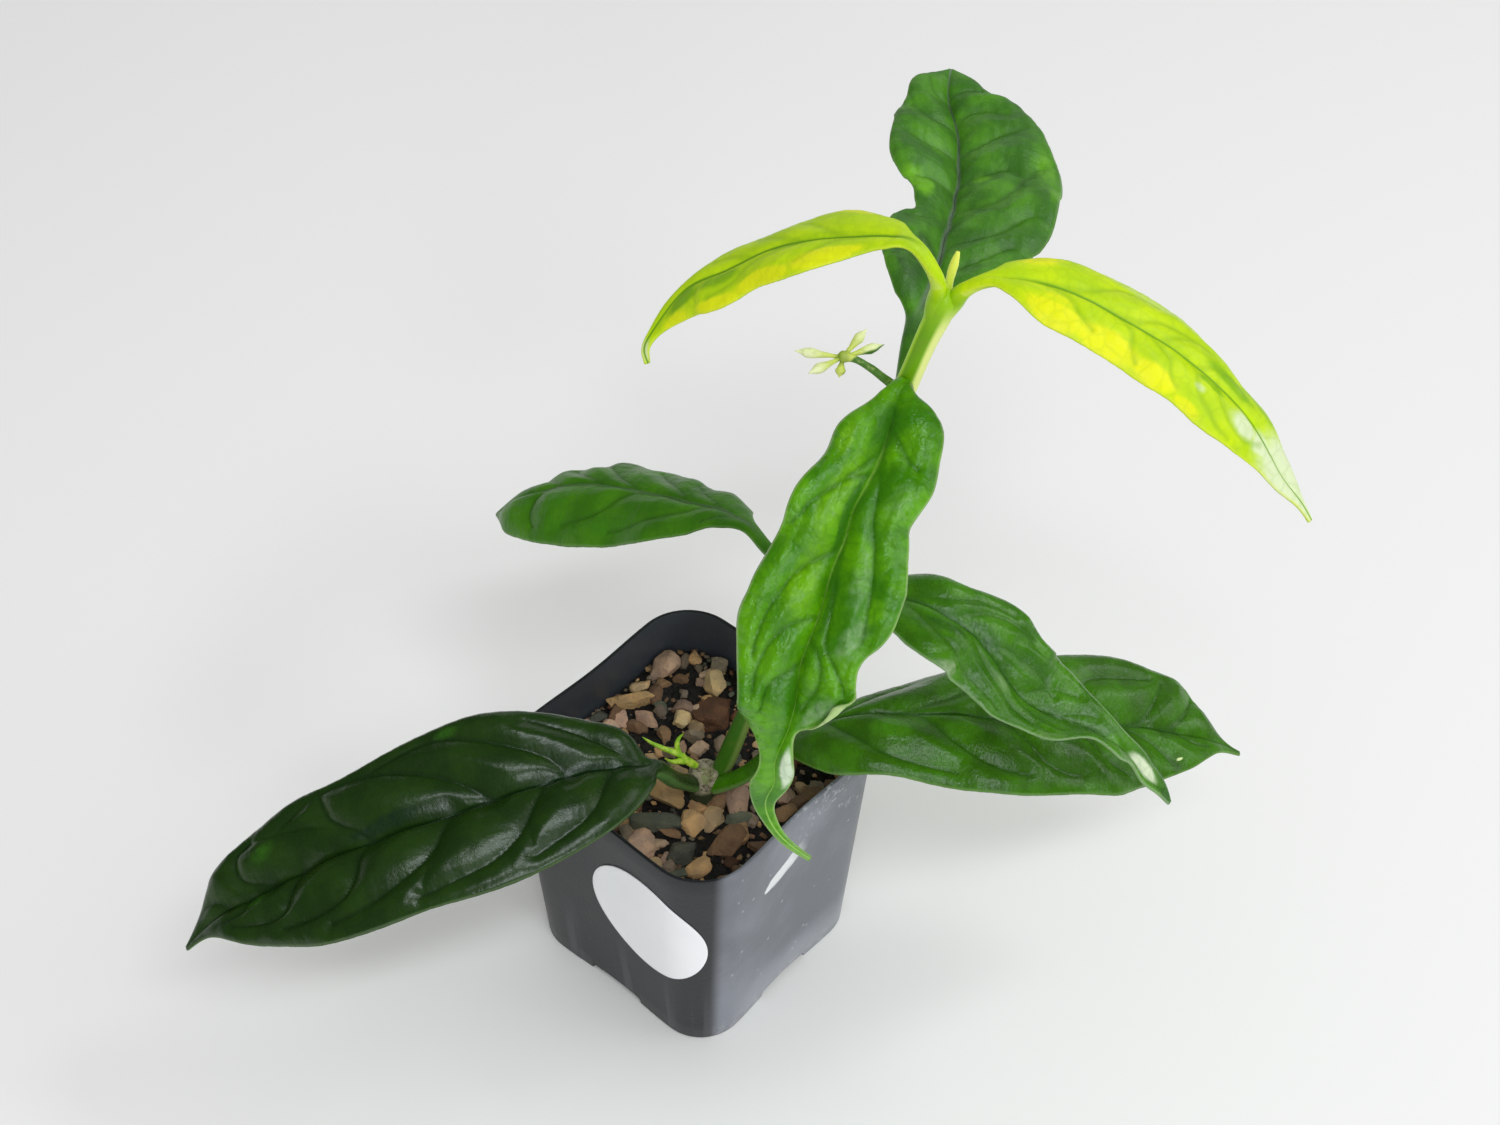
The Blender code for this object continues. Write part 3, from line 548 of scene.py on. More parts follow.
for z in (30.0, POT_FLOOR + 1.5):
    bpy.ops.mesh.extrude_edges_move()
    edit = bmesh.from_edit_mesh(mix.data)
    outline = outline_reach(z, MIX_INSET + 0.3)
    for vertex in [v for v in edit.verts if v.select]:
        a, reach = wall_reach(outline, vertex.co.x, vertex.co.y)
        vertex.co = (reach * math.cos(a), reach * math.sin(a), z * MM)
    bmesh.update_edit_mesh(mix.data)
bpy.ops.mesh.edge_face_add()
close_mesh()
bpy.ops.object.shade_smooth_by_angle(angle=math.radians(60))

peat, tree, shader = new_material("peat", 0.9)
where = (node(tree, "ShaderNodeTexCoord"), "Object")
crumb = noise_mask(tree, where, 700, 5, 0.7)
fleck = cell_mask(tree, where, 900)
colour = mix_colour(tree, band(tree, crumb, 0.4, 0.7), "0c0a09", "261d18")
dull = math_node(tree, "MULTIPLY_ADD", crumb, 0.4, 0.6)
surface(tree, shader, colour, math_node(tree, "ADD", crumb, fleck), 0.5, dull)
mix.data.materials.append(peat)
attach(mix, "root")
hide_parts("growing_mix")

# Stones
# Angular chips of baked clay, pumice and bark, 1 to 11 mm long, that lie on the mix half sunk in it.
# The larger ones lie where they do in the pot; the small ones and the grit are strewn.

TINTS = {
    "tan": "b39a74",
    "pink": "a98d78",
    "orange": "a98860",
    "brown": "7a5f45",
    "grey": "7d6f5f",
    "green": "56594c",
    "bark": "5c3d29",
    "bright": "cbb084",
}
# x, y, half length, half width, turn in degrees, colour
STONES = [
    (-27, 19, 3.6, 2.8, 120, "pink"), (-21, 19, 1.6, 1.3, 40, "brown"), (-27, 11, 2.1, 1.5, 70, "tan"),
    (-26, 6, 5.2, 1.9, 50, "orange"), (-14, 23, 2.9, 2.6, 110, "tan"), (-17, 28, 2.3, 1.8, 10, "grey"),
    (-25, 24, 1.6, 1.3, 130, "grey"), (-7, 15, 5.0, 3.8, 110, "bark"), (-19, 4, 3.1, 2.0, 0, "pink"),
    (-18, 8, 1.8, 1.4, 40, "grey"), (-12, 9, 2.5, 2.1, 120, "bright"), (-12, 3, 2.4, 1.4, 130, "brown"),
    (-28, -3, 1.6, 1.5, 90, "green"), (-24, -4, 2.0, 1.5, 40, "pink"), (-28, -6, 1.3, 1.0, 0, "pink"),
    (-7, 7, 2.1, 1.9, 40, "grey"), (-8, 0, 2.2, 1.5, 30, "grey"), (-10, -4, 1.5, 1.2, -10, "tan"),
    (-3, 6, 2.1, 1.7, 70, "pink"), (0, -10, 4.1, 2.8, -20, "orange"), (4, -18, 4.7, 2.6, 30, "green"),
    (10, -13, 2.8, 2.5, 40, "orange"), (8, -8, 2.3, 1.6, 10, "orange"), (13, -8, 3.2, 1.8, 120, "tan"),
    (14, -1, 4.7, 2.4, -40, "pink"), (20, -12, 4.5, 2.9, 90, "brown"), (21, -8, 2.9, 2.0, 120, "orange"),
    (6, -24, 3.6, 2.4, -10, "pink"), (9, -21, 1.5, 1.2, 40, "pink"), (14, -20, 2.8, 2.5, 100, "green"),
    (20, -20, 2.7, 1.8, 70, "orange"), (12, -26, 1.5, 1.1, -10, "tan"), (15, -27, 1.1, 0.9, 40, "tan"),
    (18, -24, 2.1, 1.2, 60, "green"), (19, -26, 2.0, 0.9, 30, "tan"), (25, 10, 3.9, 1.8, 70, "brown"),
    (24, 4, 2.3, 1.7, 80, "brown"), (11, 5, 1.8, 1.3, 70, "pink"), (26, -7, 2.3, 1.4, 50, "brown"),
    (20, -3, 1.9, 1.4, -30, "grey"),
]
STONE_GROWTH = (1.08, 1.12)  # how far a stone reaches past its listed half length and half width
STEM_SPACE = (-1.0, -8.0, 3.5)  # kept clear of stones
STREWN_COUNT = 100
STREWN_SIZES = (1.0, 2.4)
GRIT_COUNT = 420
GRIT_SIZES = (0.3, 0.8)
STREWN_TRIES = 40000
STONE_SHADES = (0.58, 1.12)
STONE_CORNERS = 26  # the higher, the sharper a stone's edges
CHIP_CREASE = 28.0
STONE_SEED = 41


def shape_stone(blank, rng, row, faces):
    """Cut a ball into an angular stone by planes all round it, then rough it and lay it down."""
    x, y, half_length, half_width, turn = row[:5]
    half_length, half_width = STONE_GROWTH[0] * half_length, STONE_GROWTH[1] * half_width
    half_height = half_width * rng.uniform(0.62, 0.85)
    planes = []
    for _ in range(faces):
        normal = Vector((rng.gauss(0, 1), rng.gauss(0, 1), rng.gauss(0, 1))).normalized()
        planes.append(normal / rng.uniform(0.7, 0.95))
    lie = Matrix.Rotation(math.radians(turn), 3, "Z") @ Matrix.Rotation(rng.uniform(-0.3, 0.3), 3, "X")
    centre = Vector((x, y, MIX_TOP + 0.35 * half_width + 0.2))
    shift = Vector((rng.uniform(0, 90), rng.uniform(0, 90), rng.uniform(0, 90)))
    for vertex in blank.data.vertices:
        way = vertex.co.normalized()
        pull = sum(max(way.dot(p), 0.0) ** STONE_CORNERS for p in planes) ** (1 / STONE_CORNERS)
        reach = min(1.0 / max(pull, 0.6), 1.35)
        reach += 0.06 * noise.fractal(way * 2.2 + shift, 0.9, 2.0, 3)
        point = Vector((way.x * half_length, way.y * half_width, way.z * half_height)) * reach
        vertex.co = (lie @ point + centre) * MM


def paint(piece, code, rng):
    """Give a stone its own colour, as an attribute that its material reads."""
    base = tint(code)
    shade = rng.uniform(*STONE_SHADES)
    colour = [base[0] * shade, base[1] * shade * rng.uniform(0.95, 1.04), base[2] * shade, 1.0]
    layer = piece.data.attributes.new("stone_colour", "FLOAT_COLOR", "POINT")
    layer.data.foreach_set("color", colour * len(piece.data.vertices))


def add_stone(rng, row, code, detail, faces):
    """A stone of its own shape and colour at the row's place."""
    deselect()
    bpy.ops.mesh.primitive_ico_sphere_add(subdivisions=detail, radius=1.0)
    blank = bpy.context.object
    shape_stone(blank, rng, row, faces)
    paint(blank, code, rng)
    return blank


def join(name, pieces):
    """Make one object of several."""
    choose(*pieces)
    bpy.ops.object.join()
    pieces[0].name = name
    return pieces[0]


def free_places(rng, count, sizes, spacing, laid):
    """Seeded places inside the wall that are clear of the stones laid before."""
    outline = outline_reach(MIX_TOP, MIX_INSET)
    found = []
    for _ in range(STREWN_TRIES):
        if len(found) == count:
            break
        size = rng.uniform(*sizes)
        x, y = rng.uniform(-31, 31), rng.uniform(-31, 31)
        if math.hypot(x, y) > wall_reach(outline, x, y)[1] / MM - size * 1.1:
            continue
        if any(math.hypot(x - px, y - py) < spacing * (size + other) for px, py, other in laid):
            continue
        laid.append((x, y, size))
        found.append((x, y, size * 1.2, size * 0.85, rng.uniform(0, 180)))
    return found


rng = random.Random(STONE_SEED)
laid = [(row[0], row[1], (row[2] + row[3]) / 2) for row in STONES]
laid.append(STEM_SPACE)
large = [add_stone(rng, row, TINTS[row[5]], detail=4, faces=10) for row in STONES]
# Brown and grey are the commonest among the strewn stones, and the grit has no tan and no pink
strewn_tints = ["tan", "pink", "orange", "brown", "grey", "green", "bark", "brown", "grey"]
strewn = free_places(rng, STREWN_COUNT, STREWN_SIZES, 0.72, laid)
small = [add_stone(rng, row, TINTS[rng.choice(strewn_tints)], detail=3, faces=9) for row in strewn]
grit_rows = free_places(rng, GRIT_COUNT, GRIT_SIZES, 0.7, laid)
grit = [add_stone(rng, row, TINTS[rng.choice(strewn_tints[2:])], detail=1, faces=7) for row in grit_rows]
stones = join("stones", large)
chips = join("small_stones", small)
grit_bed = join("grit", grit)

chip, tree, shader = new_material("fired_clay_and_pumice", 0.88)
where = (node(tree, "ShaderNodeTexCoord"), "Object")
own = (node(tree, "ShaderNodeAttribute", attribute_name="stone_colour"), "Color")
rough = noise_mask(tree, where, 900, 6, 0.7)
blotch = noise_mask(tree, where, 260, 3)
pits = cell_mask(tree, where, 1500)
colour = mix_colour(tree, band(tree, blotch, 0.35, 0.65), own, (1.35, 1.27, 1.14, 1.0), "MULTIPLY")
colour = mix_colour(tree, band(tree, rough, 0.42, 0.28, 0.0, 0.7), colour, "3a2a1e")
surface(tree, shader, colour, math_node(tree, "MULTIPLY_ADD", pits, 0.5, rough), 0.25)
for piece in (stones, chips, grit_bed):
    piece.data.materials.append(chip)
    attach(piece, "root")
    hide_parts("growing_mix")
choose(stones, chips)
bpy.ops.object.shade_smooth_by_angle(angle=math.radians(CHIP_CREASE))

# Stem
# The rooted cutting's woody stump, with the corky scar where its old top was cut away, and the green
# shoot that grew from its side: dark and firm low down, pale and juicy at the tip.

STUMP = [
    (2.0, -8.0, 30.0, 2.8),
    (2.2, -7.8, 50.0, 2.9),
    (2.4, -7.4, 58.0, 3.5),
    (2.6, -7.1, 62.0, 3.7),
    (2.7, -6.9, 64.0, 3.0),
]
STEM = [
    (5.0, -6.6, 59.0, 1.9),
    (7.0, -5.8, 64.5, 2.2),
    (11.5, -4.0, 79.0, 1.9),
    (18.0, -2.0, 97.5, 2.0),
    (23.6, -0.6, 112.5, 2.3),
    (25.2, 0.0, 117.5, 2.1),
    (33.0, 2.0, 141.0, 2.1),
    (40.6, 3.8, 163.5, 2.4),
    (42.2, 4.1, 168.5, 2.3),
    (45.6, 4.7, 180.0, 2.4),
    (47.9, 5.0, 187.2, 2.5),
    (48.2, 5.0, 188.6, 2.1),
    (48.4, 5.0, 189.4, 1.2),
    (48.5, 5.0, 189.8, 0.4),
]
# Where the stem's tip runs out into the stalks of the two young leaves
FORK = [
    [(46.0, 4.8, 181.5, 1.7), (46.2, 4.9, 185.0, 2.05), (46.4, 4.9, 188.0, 1.95), (46.4, 4.2, 190.0, 1.7),
     (46.3, 3.7, 191.9, 1.5), (45.9, 3.6, 193.2, 1.3)],
    [(46.6, 4.8, 181.5, 1.7), (48.2, 5.1, 185.0, 2.05), (49.8, 5.0, 187.6, 1.95), (50.6, 4.0, 189.8, 1.7),
     (51.5, 3.4, 191.3, 1.5), (52.7, 3.1, 192.4, 1.3)],
]
TURN = np.array(Matrix.Rotation(math.radians(PLANT_TURN), 3, "Z"))


def natural_curve(rows, count):
    """Natural cubic curve through the rows, spaced evenly by length; all columns follow it."""
    values = np.array(rows, dtype=float)
    spans = np.linalg.norm(np.diff(values[:, :3], axis=0), axis=1)
    knots = np.concatenate(([0.0], np.cumsum(spans)))
    size = len(values)
    system = np.eye(size)
    right = np.zeros_like(values)
    for i in range(1, size - 1):
        before, after = spans[i - 1], spans[i]
        system[i, i - 1:i + 2] = before, 2 * (before + after), after
        right[i] = 6 * ((values[i + 1] - values[i]) / after - (values[i] - values[i - 1]) / before)
    bend = np.linalg.solve(system, right)
    places = np.linspace(0, knots[-1], count)
    i = np.clip(np.searchsorted(knots, places) - 1, 0, size - 2)
    span = spans[i][:, None]
    p = (places - knots[i])[:, None]
    q = span - p
    cubic = (bend[i] * q ** 3 + bend[i + 1] * p ** 3) / (6 * span)
    before = values[i] / span - bend[i] * span / 6
    after = values[i + 1] / span - bend[i + 1] * span / 6
    return cubic + before * q + after * p


def unit(vectors):
    """The vectors, each with length one."""
    return vectors / np.linalg.norm(vectors, axis=-1, keepdims=True)


def wrap_grid(name, rings, layers=None):
    """A grid rolled into a closed skin through rings of points in the plant's frame.

    Each layer is an attribute of three numbers for each point of the rings.
    """
    count, sides = rings.shape[:2]
    deselect()
    bpy.ops.mesh.primitive_grid_add(x_subdivisions=sides, y_subdivisions=count - 1, size=1.0)
    skin = bpy.context.object
    skin.name = name
    closed = np.concatenate([rings, rings[:, :1]], axis=1).reshape(-1, 3)
    skin.data.vertices.foreach_set("co", (closed @ TURN.T * MM).astype(np.float32).ravel())
    for key, values in (layers or {}).items():
        shut = np.concatenate([values, values[:, :1]], axis=1).reshape(-1, 3)
        layer = skin.data.attributes.new(key, "FLOAT_VECTOR", "POINT")
        layer.data.foreach_set("vector", shut.astype(np.float32).ravel())
    edit_whole()
    bpy.ops.mesh.remove_doubles(threshold=0.00001 * MM)
    bpy.ops.mesh.fill_holes(sides=0)
    close_mesh()
    bpy.ops.object.shade_smooth()
    return skin


def tube(name, rows, count, sides, rough=0.0, seed=0.0):
    """Closed tube along the rows, with its radius waved by rough."""
    line = natural_curve(rows, count)
    along = unit(np.gradient(line[:, :3], axis=0))
    side = unit(np.cross(along, (0.31, -0.95, 0.05)))
    up = np.cross(side, along)
    a = np.linspace(0, 2 * math.pi, sides, endpoint=False)
    s = np.linspace(0, 1, count)[:, None]
    ripple = np.sin(2 * a + 9 * s + seed) * np.sin(14 * s + a + seed)
    ripple += 0.3 * np.sin(31 * s + 2 * a + 2 * seed)
    radius = line[:, 3:4] * (1 + rough * ripple)
    points = line[:, None, :3] + radius[..., None] * (
        np.cos(a)[None, :, None] * side[:, None] + np.sin(a)[None, :, None] * up[:, None])
    return wrap_grid(name, points)


stump = tube("stem_stump", STUMP, 40, 32, 0.05, 1.0)
shoot = join("stem_shoot", [tube("stem_shoot", STEM, 150, 28, 0.012, 2.0)]
             + [tube("fork", rows, 40, 24) for rows in FORK])

# Directions in the plant's frame that the stem's sunlit and shaded strips face: painted light and painted
# shade in the stem's colour, set by which way its surface faces
SUNNY_WAY = (0.92, -0.25, -0.26)
SHADED_WAY = (-0.45, -0.87, 0.2)

skin, tree, shader = new_material("stem_skin", 0.4)
shader.inputs["Specular IOR Level"].default_value = 0.3
where, split = on_piece(tree)
height = (split, "Z")
fine = noise_mask(tree, where, 700, 4)
speckle = noise_mask(tree, where, 250, 5)
faces = (node(tree, "ShaderNodeNewGeometry"), "Normal")
sunny = band(tree, vector_node(tree, "DOT_PRODUCT", faces, tuple(TURN @ SUNNY_WAY)), 0.12, 0.6)
sunny = times(tree, sunny, band(tree, height, 188 * MM, 181 * MM))
shaded = band(tree, vector_node(tree, "DOT_PRODUCT", faces, tuple(TURN @ SHADED_WAY)), 0.7, 0.92)
shaded = times(tree, shaded, band(tree, height, 190 * MM, 180 * MM))
colour = mix_colour(tree, band(tree, height, 85 * MM, 150 * MM), "3b6c16", "5d961c")
for low, high, code in ((150, 176, "b0de12"), (180, 187, "98c80a"), (188, 193, "b8da06")):
    colour = mix_colour(tree, band(tree, height, low * MM, high * MM), colour, code)
# Painted shade: a darker green strip down the side of the stem that faces away from the light
painted_shade_strip = times(tree, band(tree, height, 140 * MM, 165 * MM, 0.0, 0.85), shaded)
colour = mix_colour(tree, painted_shade_strip, colour, "5c9800")
colour = mix_colour(tree, band(tree, speckle, 0.5, 0.75, 0.0, 0.2), colour, "7d8a3a")
# Painted light: a pale yellow strip down the stem's sunlit side
painted_sunlit_strip = times(tree, band(tree, height, 120 * MM, 170 * MM, 0.15, 0.95), sunny)
colour = mix_colour(tree, painted_sunlit_strip, colour, "eef498")
surface(tree, shader, colour, fine, 0.05, math_node(tree, "MULTIPLY_ADD", fine, 0.15, 0.32))

cork, tree, shader = new_material("corky_scar", 0.85)
where, split = on_piece(tree)
fine = noise_mask(tree, where, 800, 6, 0.7)
patches = noise_mask(tree, where, 350, 3)
colour = mix_colour(tree, band(tree, patches, 0.4, 0.6), "a89f86", "7f8a52")
colour = mix_colour(tree, band(tree, fine, 0.55, 0.35), colour, "5a4e38")
colour = mix_colour(tree, band(tree, (split, "Z"), 60.5 * MM, 58.5 * MM), colour, "2d3a18")
surface(tree, shader, colour, fine, 0.4)
stump.data.materials.append(cork)
shoot.data.materials.append(skin)
for piece in (stump, shoot):
    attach(piece, "root")
    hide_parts("stem")

# Low left leaf
# The largest and oldest leaf, thick, leathery and nearly black green. Its blade swells up between the
# side veins, which run forward and loop together inside the margin.

LEAF_STEPS = 281  # cross sections from the stem to the leaf's tip
LEAF_COLUMNS = 75  # points across each face
BLADE = 0.8  # thickness of the blade
ARCH = 0.28  # swell of each half blade, as a share of its reach
KEEL = 0.9  # depth of the midrib under the blade, as a share of the petiole
KEEL_WIDTH = 0.1
FLATTEN = 3.0  # width gained while the round petiole turns into the blade
PETIOLE = 2.0
NO_VEIN = 40.0  # the distance given to points that have no side vein nearer by
FAINT = 1.0  # veins that branch off a side vein are shallower, as if this much further away
STEADY = 8  # steps before and after over which the heading of a cross section is evened out
PILLOW = 4.0  # distance from a side vein over which the blade swells up
PILLOW_MIDRIB = 2.2  # the same from the midrib, and from the margin
PILLOW_MARGIN = 2.5
GROOVE = 0.45  # depth of the groove over the midrib
GROOVE_WIDTH = 0.9
NARROW = 11.0  # a half that reaches less than this is quilted less
WAVY = 12.0  # a half that reaches less than this is waved less
LEAST_REACH = 0.6


def vein_gap(veins, line, length, s, d):
    """Distance of each point of the flattened leaf from the nearest side vein."""
    steps = np.linspace(0, 1, len(line))
    gap = np.full(np.broadcast(s, d).shape, NO_VEIN)
    for vein in veins:
        t, v = np.array(vein).reshape(-1, 2).T / 100
        reach = np.where(v > 0, np.interp(t, steps, line[:, 4]), np.interp(t, steps, line[:, 3]))
        run = natural_curve(np.stack((t * length, v * reach, 0 * t), axis=1), 8 * len(t))[:, :2]
        for start, end in zip(run[:-1], run[1:]):
            way = end - start
            share = np.clip(((s - start[0]) * way[0] + (d - start[1]) * way[1]) / (way @ way), 0, 1)
            off = np.hypot(s - start[0] - share * way[0], d - start[1] - share * way[1])
            gap = np.minimum(gap, off + (0 if vein[1] == 0 else FAINT))
    return gap


def soft_patch(patches, t, v):
    """Mask of oval patches, each a place on the leaf, its two half widths and a share, in per cent."""
    mask = np.zeros(np.broadcast(t, v).shape)
    for t0, v0, half_t, half_v, share in np.array(patches).reshape(-1, 5) / 100:
        off = np.sqrt(((t - t0) / half_t) ** 2 + ((v - v0) / half_v) ** 2)
        mask = np.maximum(mask, share * np.clip(1.5 - off, 0, 1))
    return mask


def leaf_blade(name, rows, veins, patches, quilt, waves, seed, face=(0, 0, 1), petiole=PETIOLE, curl=None,
               ripple=0.05):
    """A leaf: round petiole, then a blade that swells by quilt millimetres between its side veins.

    A row is a place of the midrib, the reach of the left and the right half, and how far each half lifts
    in degrees. A vein is a run of pairs: per cent of the leaf's length, and of its reach to the left (below
    zero) or right. Waves give the number, height and start of the margins' waves, left and right. A curl
    (hand, first and last share of the length, share of the reach at the fold, radius, extra width) rolls
    one margin up and over. The face is the way the upper side looks.
    """
    line = natural_curve(rows, LEAF_STEPS)
    place = line[:, :3]
    length = float(np.linalg.norm(np.diff(place, axis=0), axis=1).sum())
    along = unit(np.gradient(place, axis=0))
    padded = np.pad(along, ((STEADY, STEADY), (0, 0)), mode="edge")
    heading = sum(padded[i:i + LEAF_STEPS] for i in range(2 * STEADY + 1))
    side = unit(np.cross(heading, np.array(face, dtype=float)))
    up = unit(np.cross(side, along))
    t = np.linspace(0, 1, LEAF_STEPS)[:, None]
    half = np.linspace(0, 1, LEAF_COLUMNS // 2 + 1)[1:] ** 1.1
    v = np.concatenate((-half[::-1], [0.0], half))[None, :]
    far = np.abs(v)
    sign = np.sign(v)
    right = v > 0
    reach = np.maximum(np.where(right, line[:, 4:5], line[:, 3:4]), LEAST_REACH)
    lift = np.radians(np.where(right, line[:, 6:7], line[:, 5:6]))
    flat = np.clip(((line[:, 3] + line[:, 4]) / 2 - petiole) / FLATTEN, 0, 1)
    flat = np.maximum.accumulate(flat)
    (count_l, high_l, start_l), (count_r, high_r, start_r) = waves
    count = np.where(right, count_r, count_l)
    high = np.where(right, high_r, high_l)
    start = np.where(right, start_r, start_l)

    def section(far):
        """How far out and how high the bare blade lies at a share of its reach."""
        wave = high * np.minimum(reach / WAVY, 1) * far ** 1.6 * np.sin(2 * math.pi * (count * t + start))
        rise = far * reach * np.sin(lift) + ARCH * reach * far * (1 - far) + wave
        return far * reach * np.cos(lift), rise

    across, rise = section(far)
    if curl:
        hand, first, last, fold, radius, extra = curl
        window = np.clip(np.minimum(t - first, last - t) / (0.35 * (last - first)), 0, 1)
        window = window * window * (3 - 2 * window)
        rolled = (sign == hand) & (far > fold)
        across_fold, rise_fold = section(fold + 0 * far)
        over = (far - fold) * reach * (1 + extra * window)
        bend = np.maximum(window / radius, 1e-4)
        across = np.where(rolled, across_fold + (np.sin(bend * over + lift) - np.sin(lift)) / bend, across)
        rise = np.where(rolled, rise_fold + (np.cos(lift) - np.cos(bend * over + lift)) / bend, rise)

    s = t * length
    d = v * reach
    out = far * reach
    edge = reach - out
    gap = vein_gap(veins, line, length, s, d)
    swell = (1 - np.exp(-gap / PILLOW)) * (1 - np.exp(-out / PILLOW_MIDRIB))
    swell *= 1 - np.exp(-edge / PILLOW_MARGIN)
    groove = GROOVE * np.exp(-(out / GROOVE_WIDTH) ** 2)
    small = np.sin(0.9 * s + 1.3 * d + seed) * np.sin(1.1 * d - 0.7 * s + 2 * seed)
    small = small + 0.6 * np.sin(2.1 * s - 1.2 * d + 3 * seed) * np.sin(1.7 * d + 1.9 * s)
    rise = rise + (quilt * swell - groove + ripple * small * (0.3 + far)) * np.minimum(reach / NARROW, 1)

    sheet = place[:, None] + (sign * across)[..., None] * side[:, None] + rise[..., None] * up[:, None]
    normal = unit(np.cross(np.gradient(sheet, axis=1), np.gradient(sheet, axis=0)))
    keel = np.exp(-(far / KEEL_WIDTH) ** 2) * petiole * KEEL * (1 - t) ** 1.3
    thin = BLADE / 2 * (1 - 0.5 * far ** 6)
    top = sheet + normal * thin[..., None]
    below = sheet - normal * (thin + keel)[..., None]
    blade = np.concatenate((top, below[:, ::-1]), axis=1)
    a = math.pi * (1 - (np.arange(2 * LEAF_COLUMNS) + 0.5) / LEAF_COLUMNS)
    stalk = place[:, None] + petiole * (
        np.cos(a)[None, :, None] * side[:, None] + np.sin(a)[None, :, None] * up[:, None])
    rings = stalk + (blade - stalk) * flat[:, None, None]

    def both(x, y, z):
        """Values x and y on both faces of the leaf, with the first z on the upper, the second on the lower."""
        upper = np.stack(np.broadcast_arrays(x, y, z[0]), axis=-1)
        lower = np.stack(np.broadcast_arrays(x, y, z[1]), axis=-1)
        return np.concatenate((upper, lower[:, ::-1]), axis=1)

    zero = np.zeros_like(out)
    # Masks of painted light on the blade: bright is a painted glow of light through it, pale a painted sheen
    # and in places its pale underside, dark a painted shade in folds and pockets
    bright, pale, painted_shade = (soft_patch(patches.get(kind, ()), t, v) for kind in ("bright", "pale", "painted_shade"))
    layers = {
        "leaf_place": both(t + zero, v + zero, (zero + 1, zero)),
        "leaf_veins": both(gap, edge, (zero, zero)),
        "leaf_flat": both(s + zero, d + zero, (zero, zero + 3.0)),
        "leaf_painted_light": both(bright, pale, (painted_shade, painted_shade)),
    }
    return wrap_grid(name, rings, layers)


# The last three tones are painted light: glow through the blade, sheen with the pale underside where the blade
# turns, and shade
SKIN_TONES = ("Blade", "Deep", "Vein", "Midrib", "Margin", "Underside", "Bright", "Painted Sheen And Underside", "Painted Shade")
SKIN_SHARES = {
    "Vein Share": 0.5, "Vein Width": 0.8, "Net Share": 0.2, "Midrib Width": 0.8, "Margin Share": 0.4,
    "Dullness": 0.25,
}


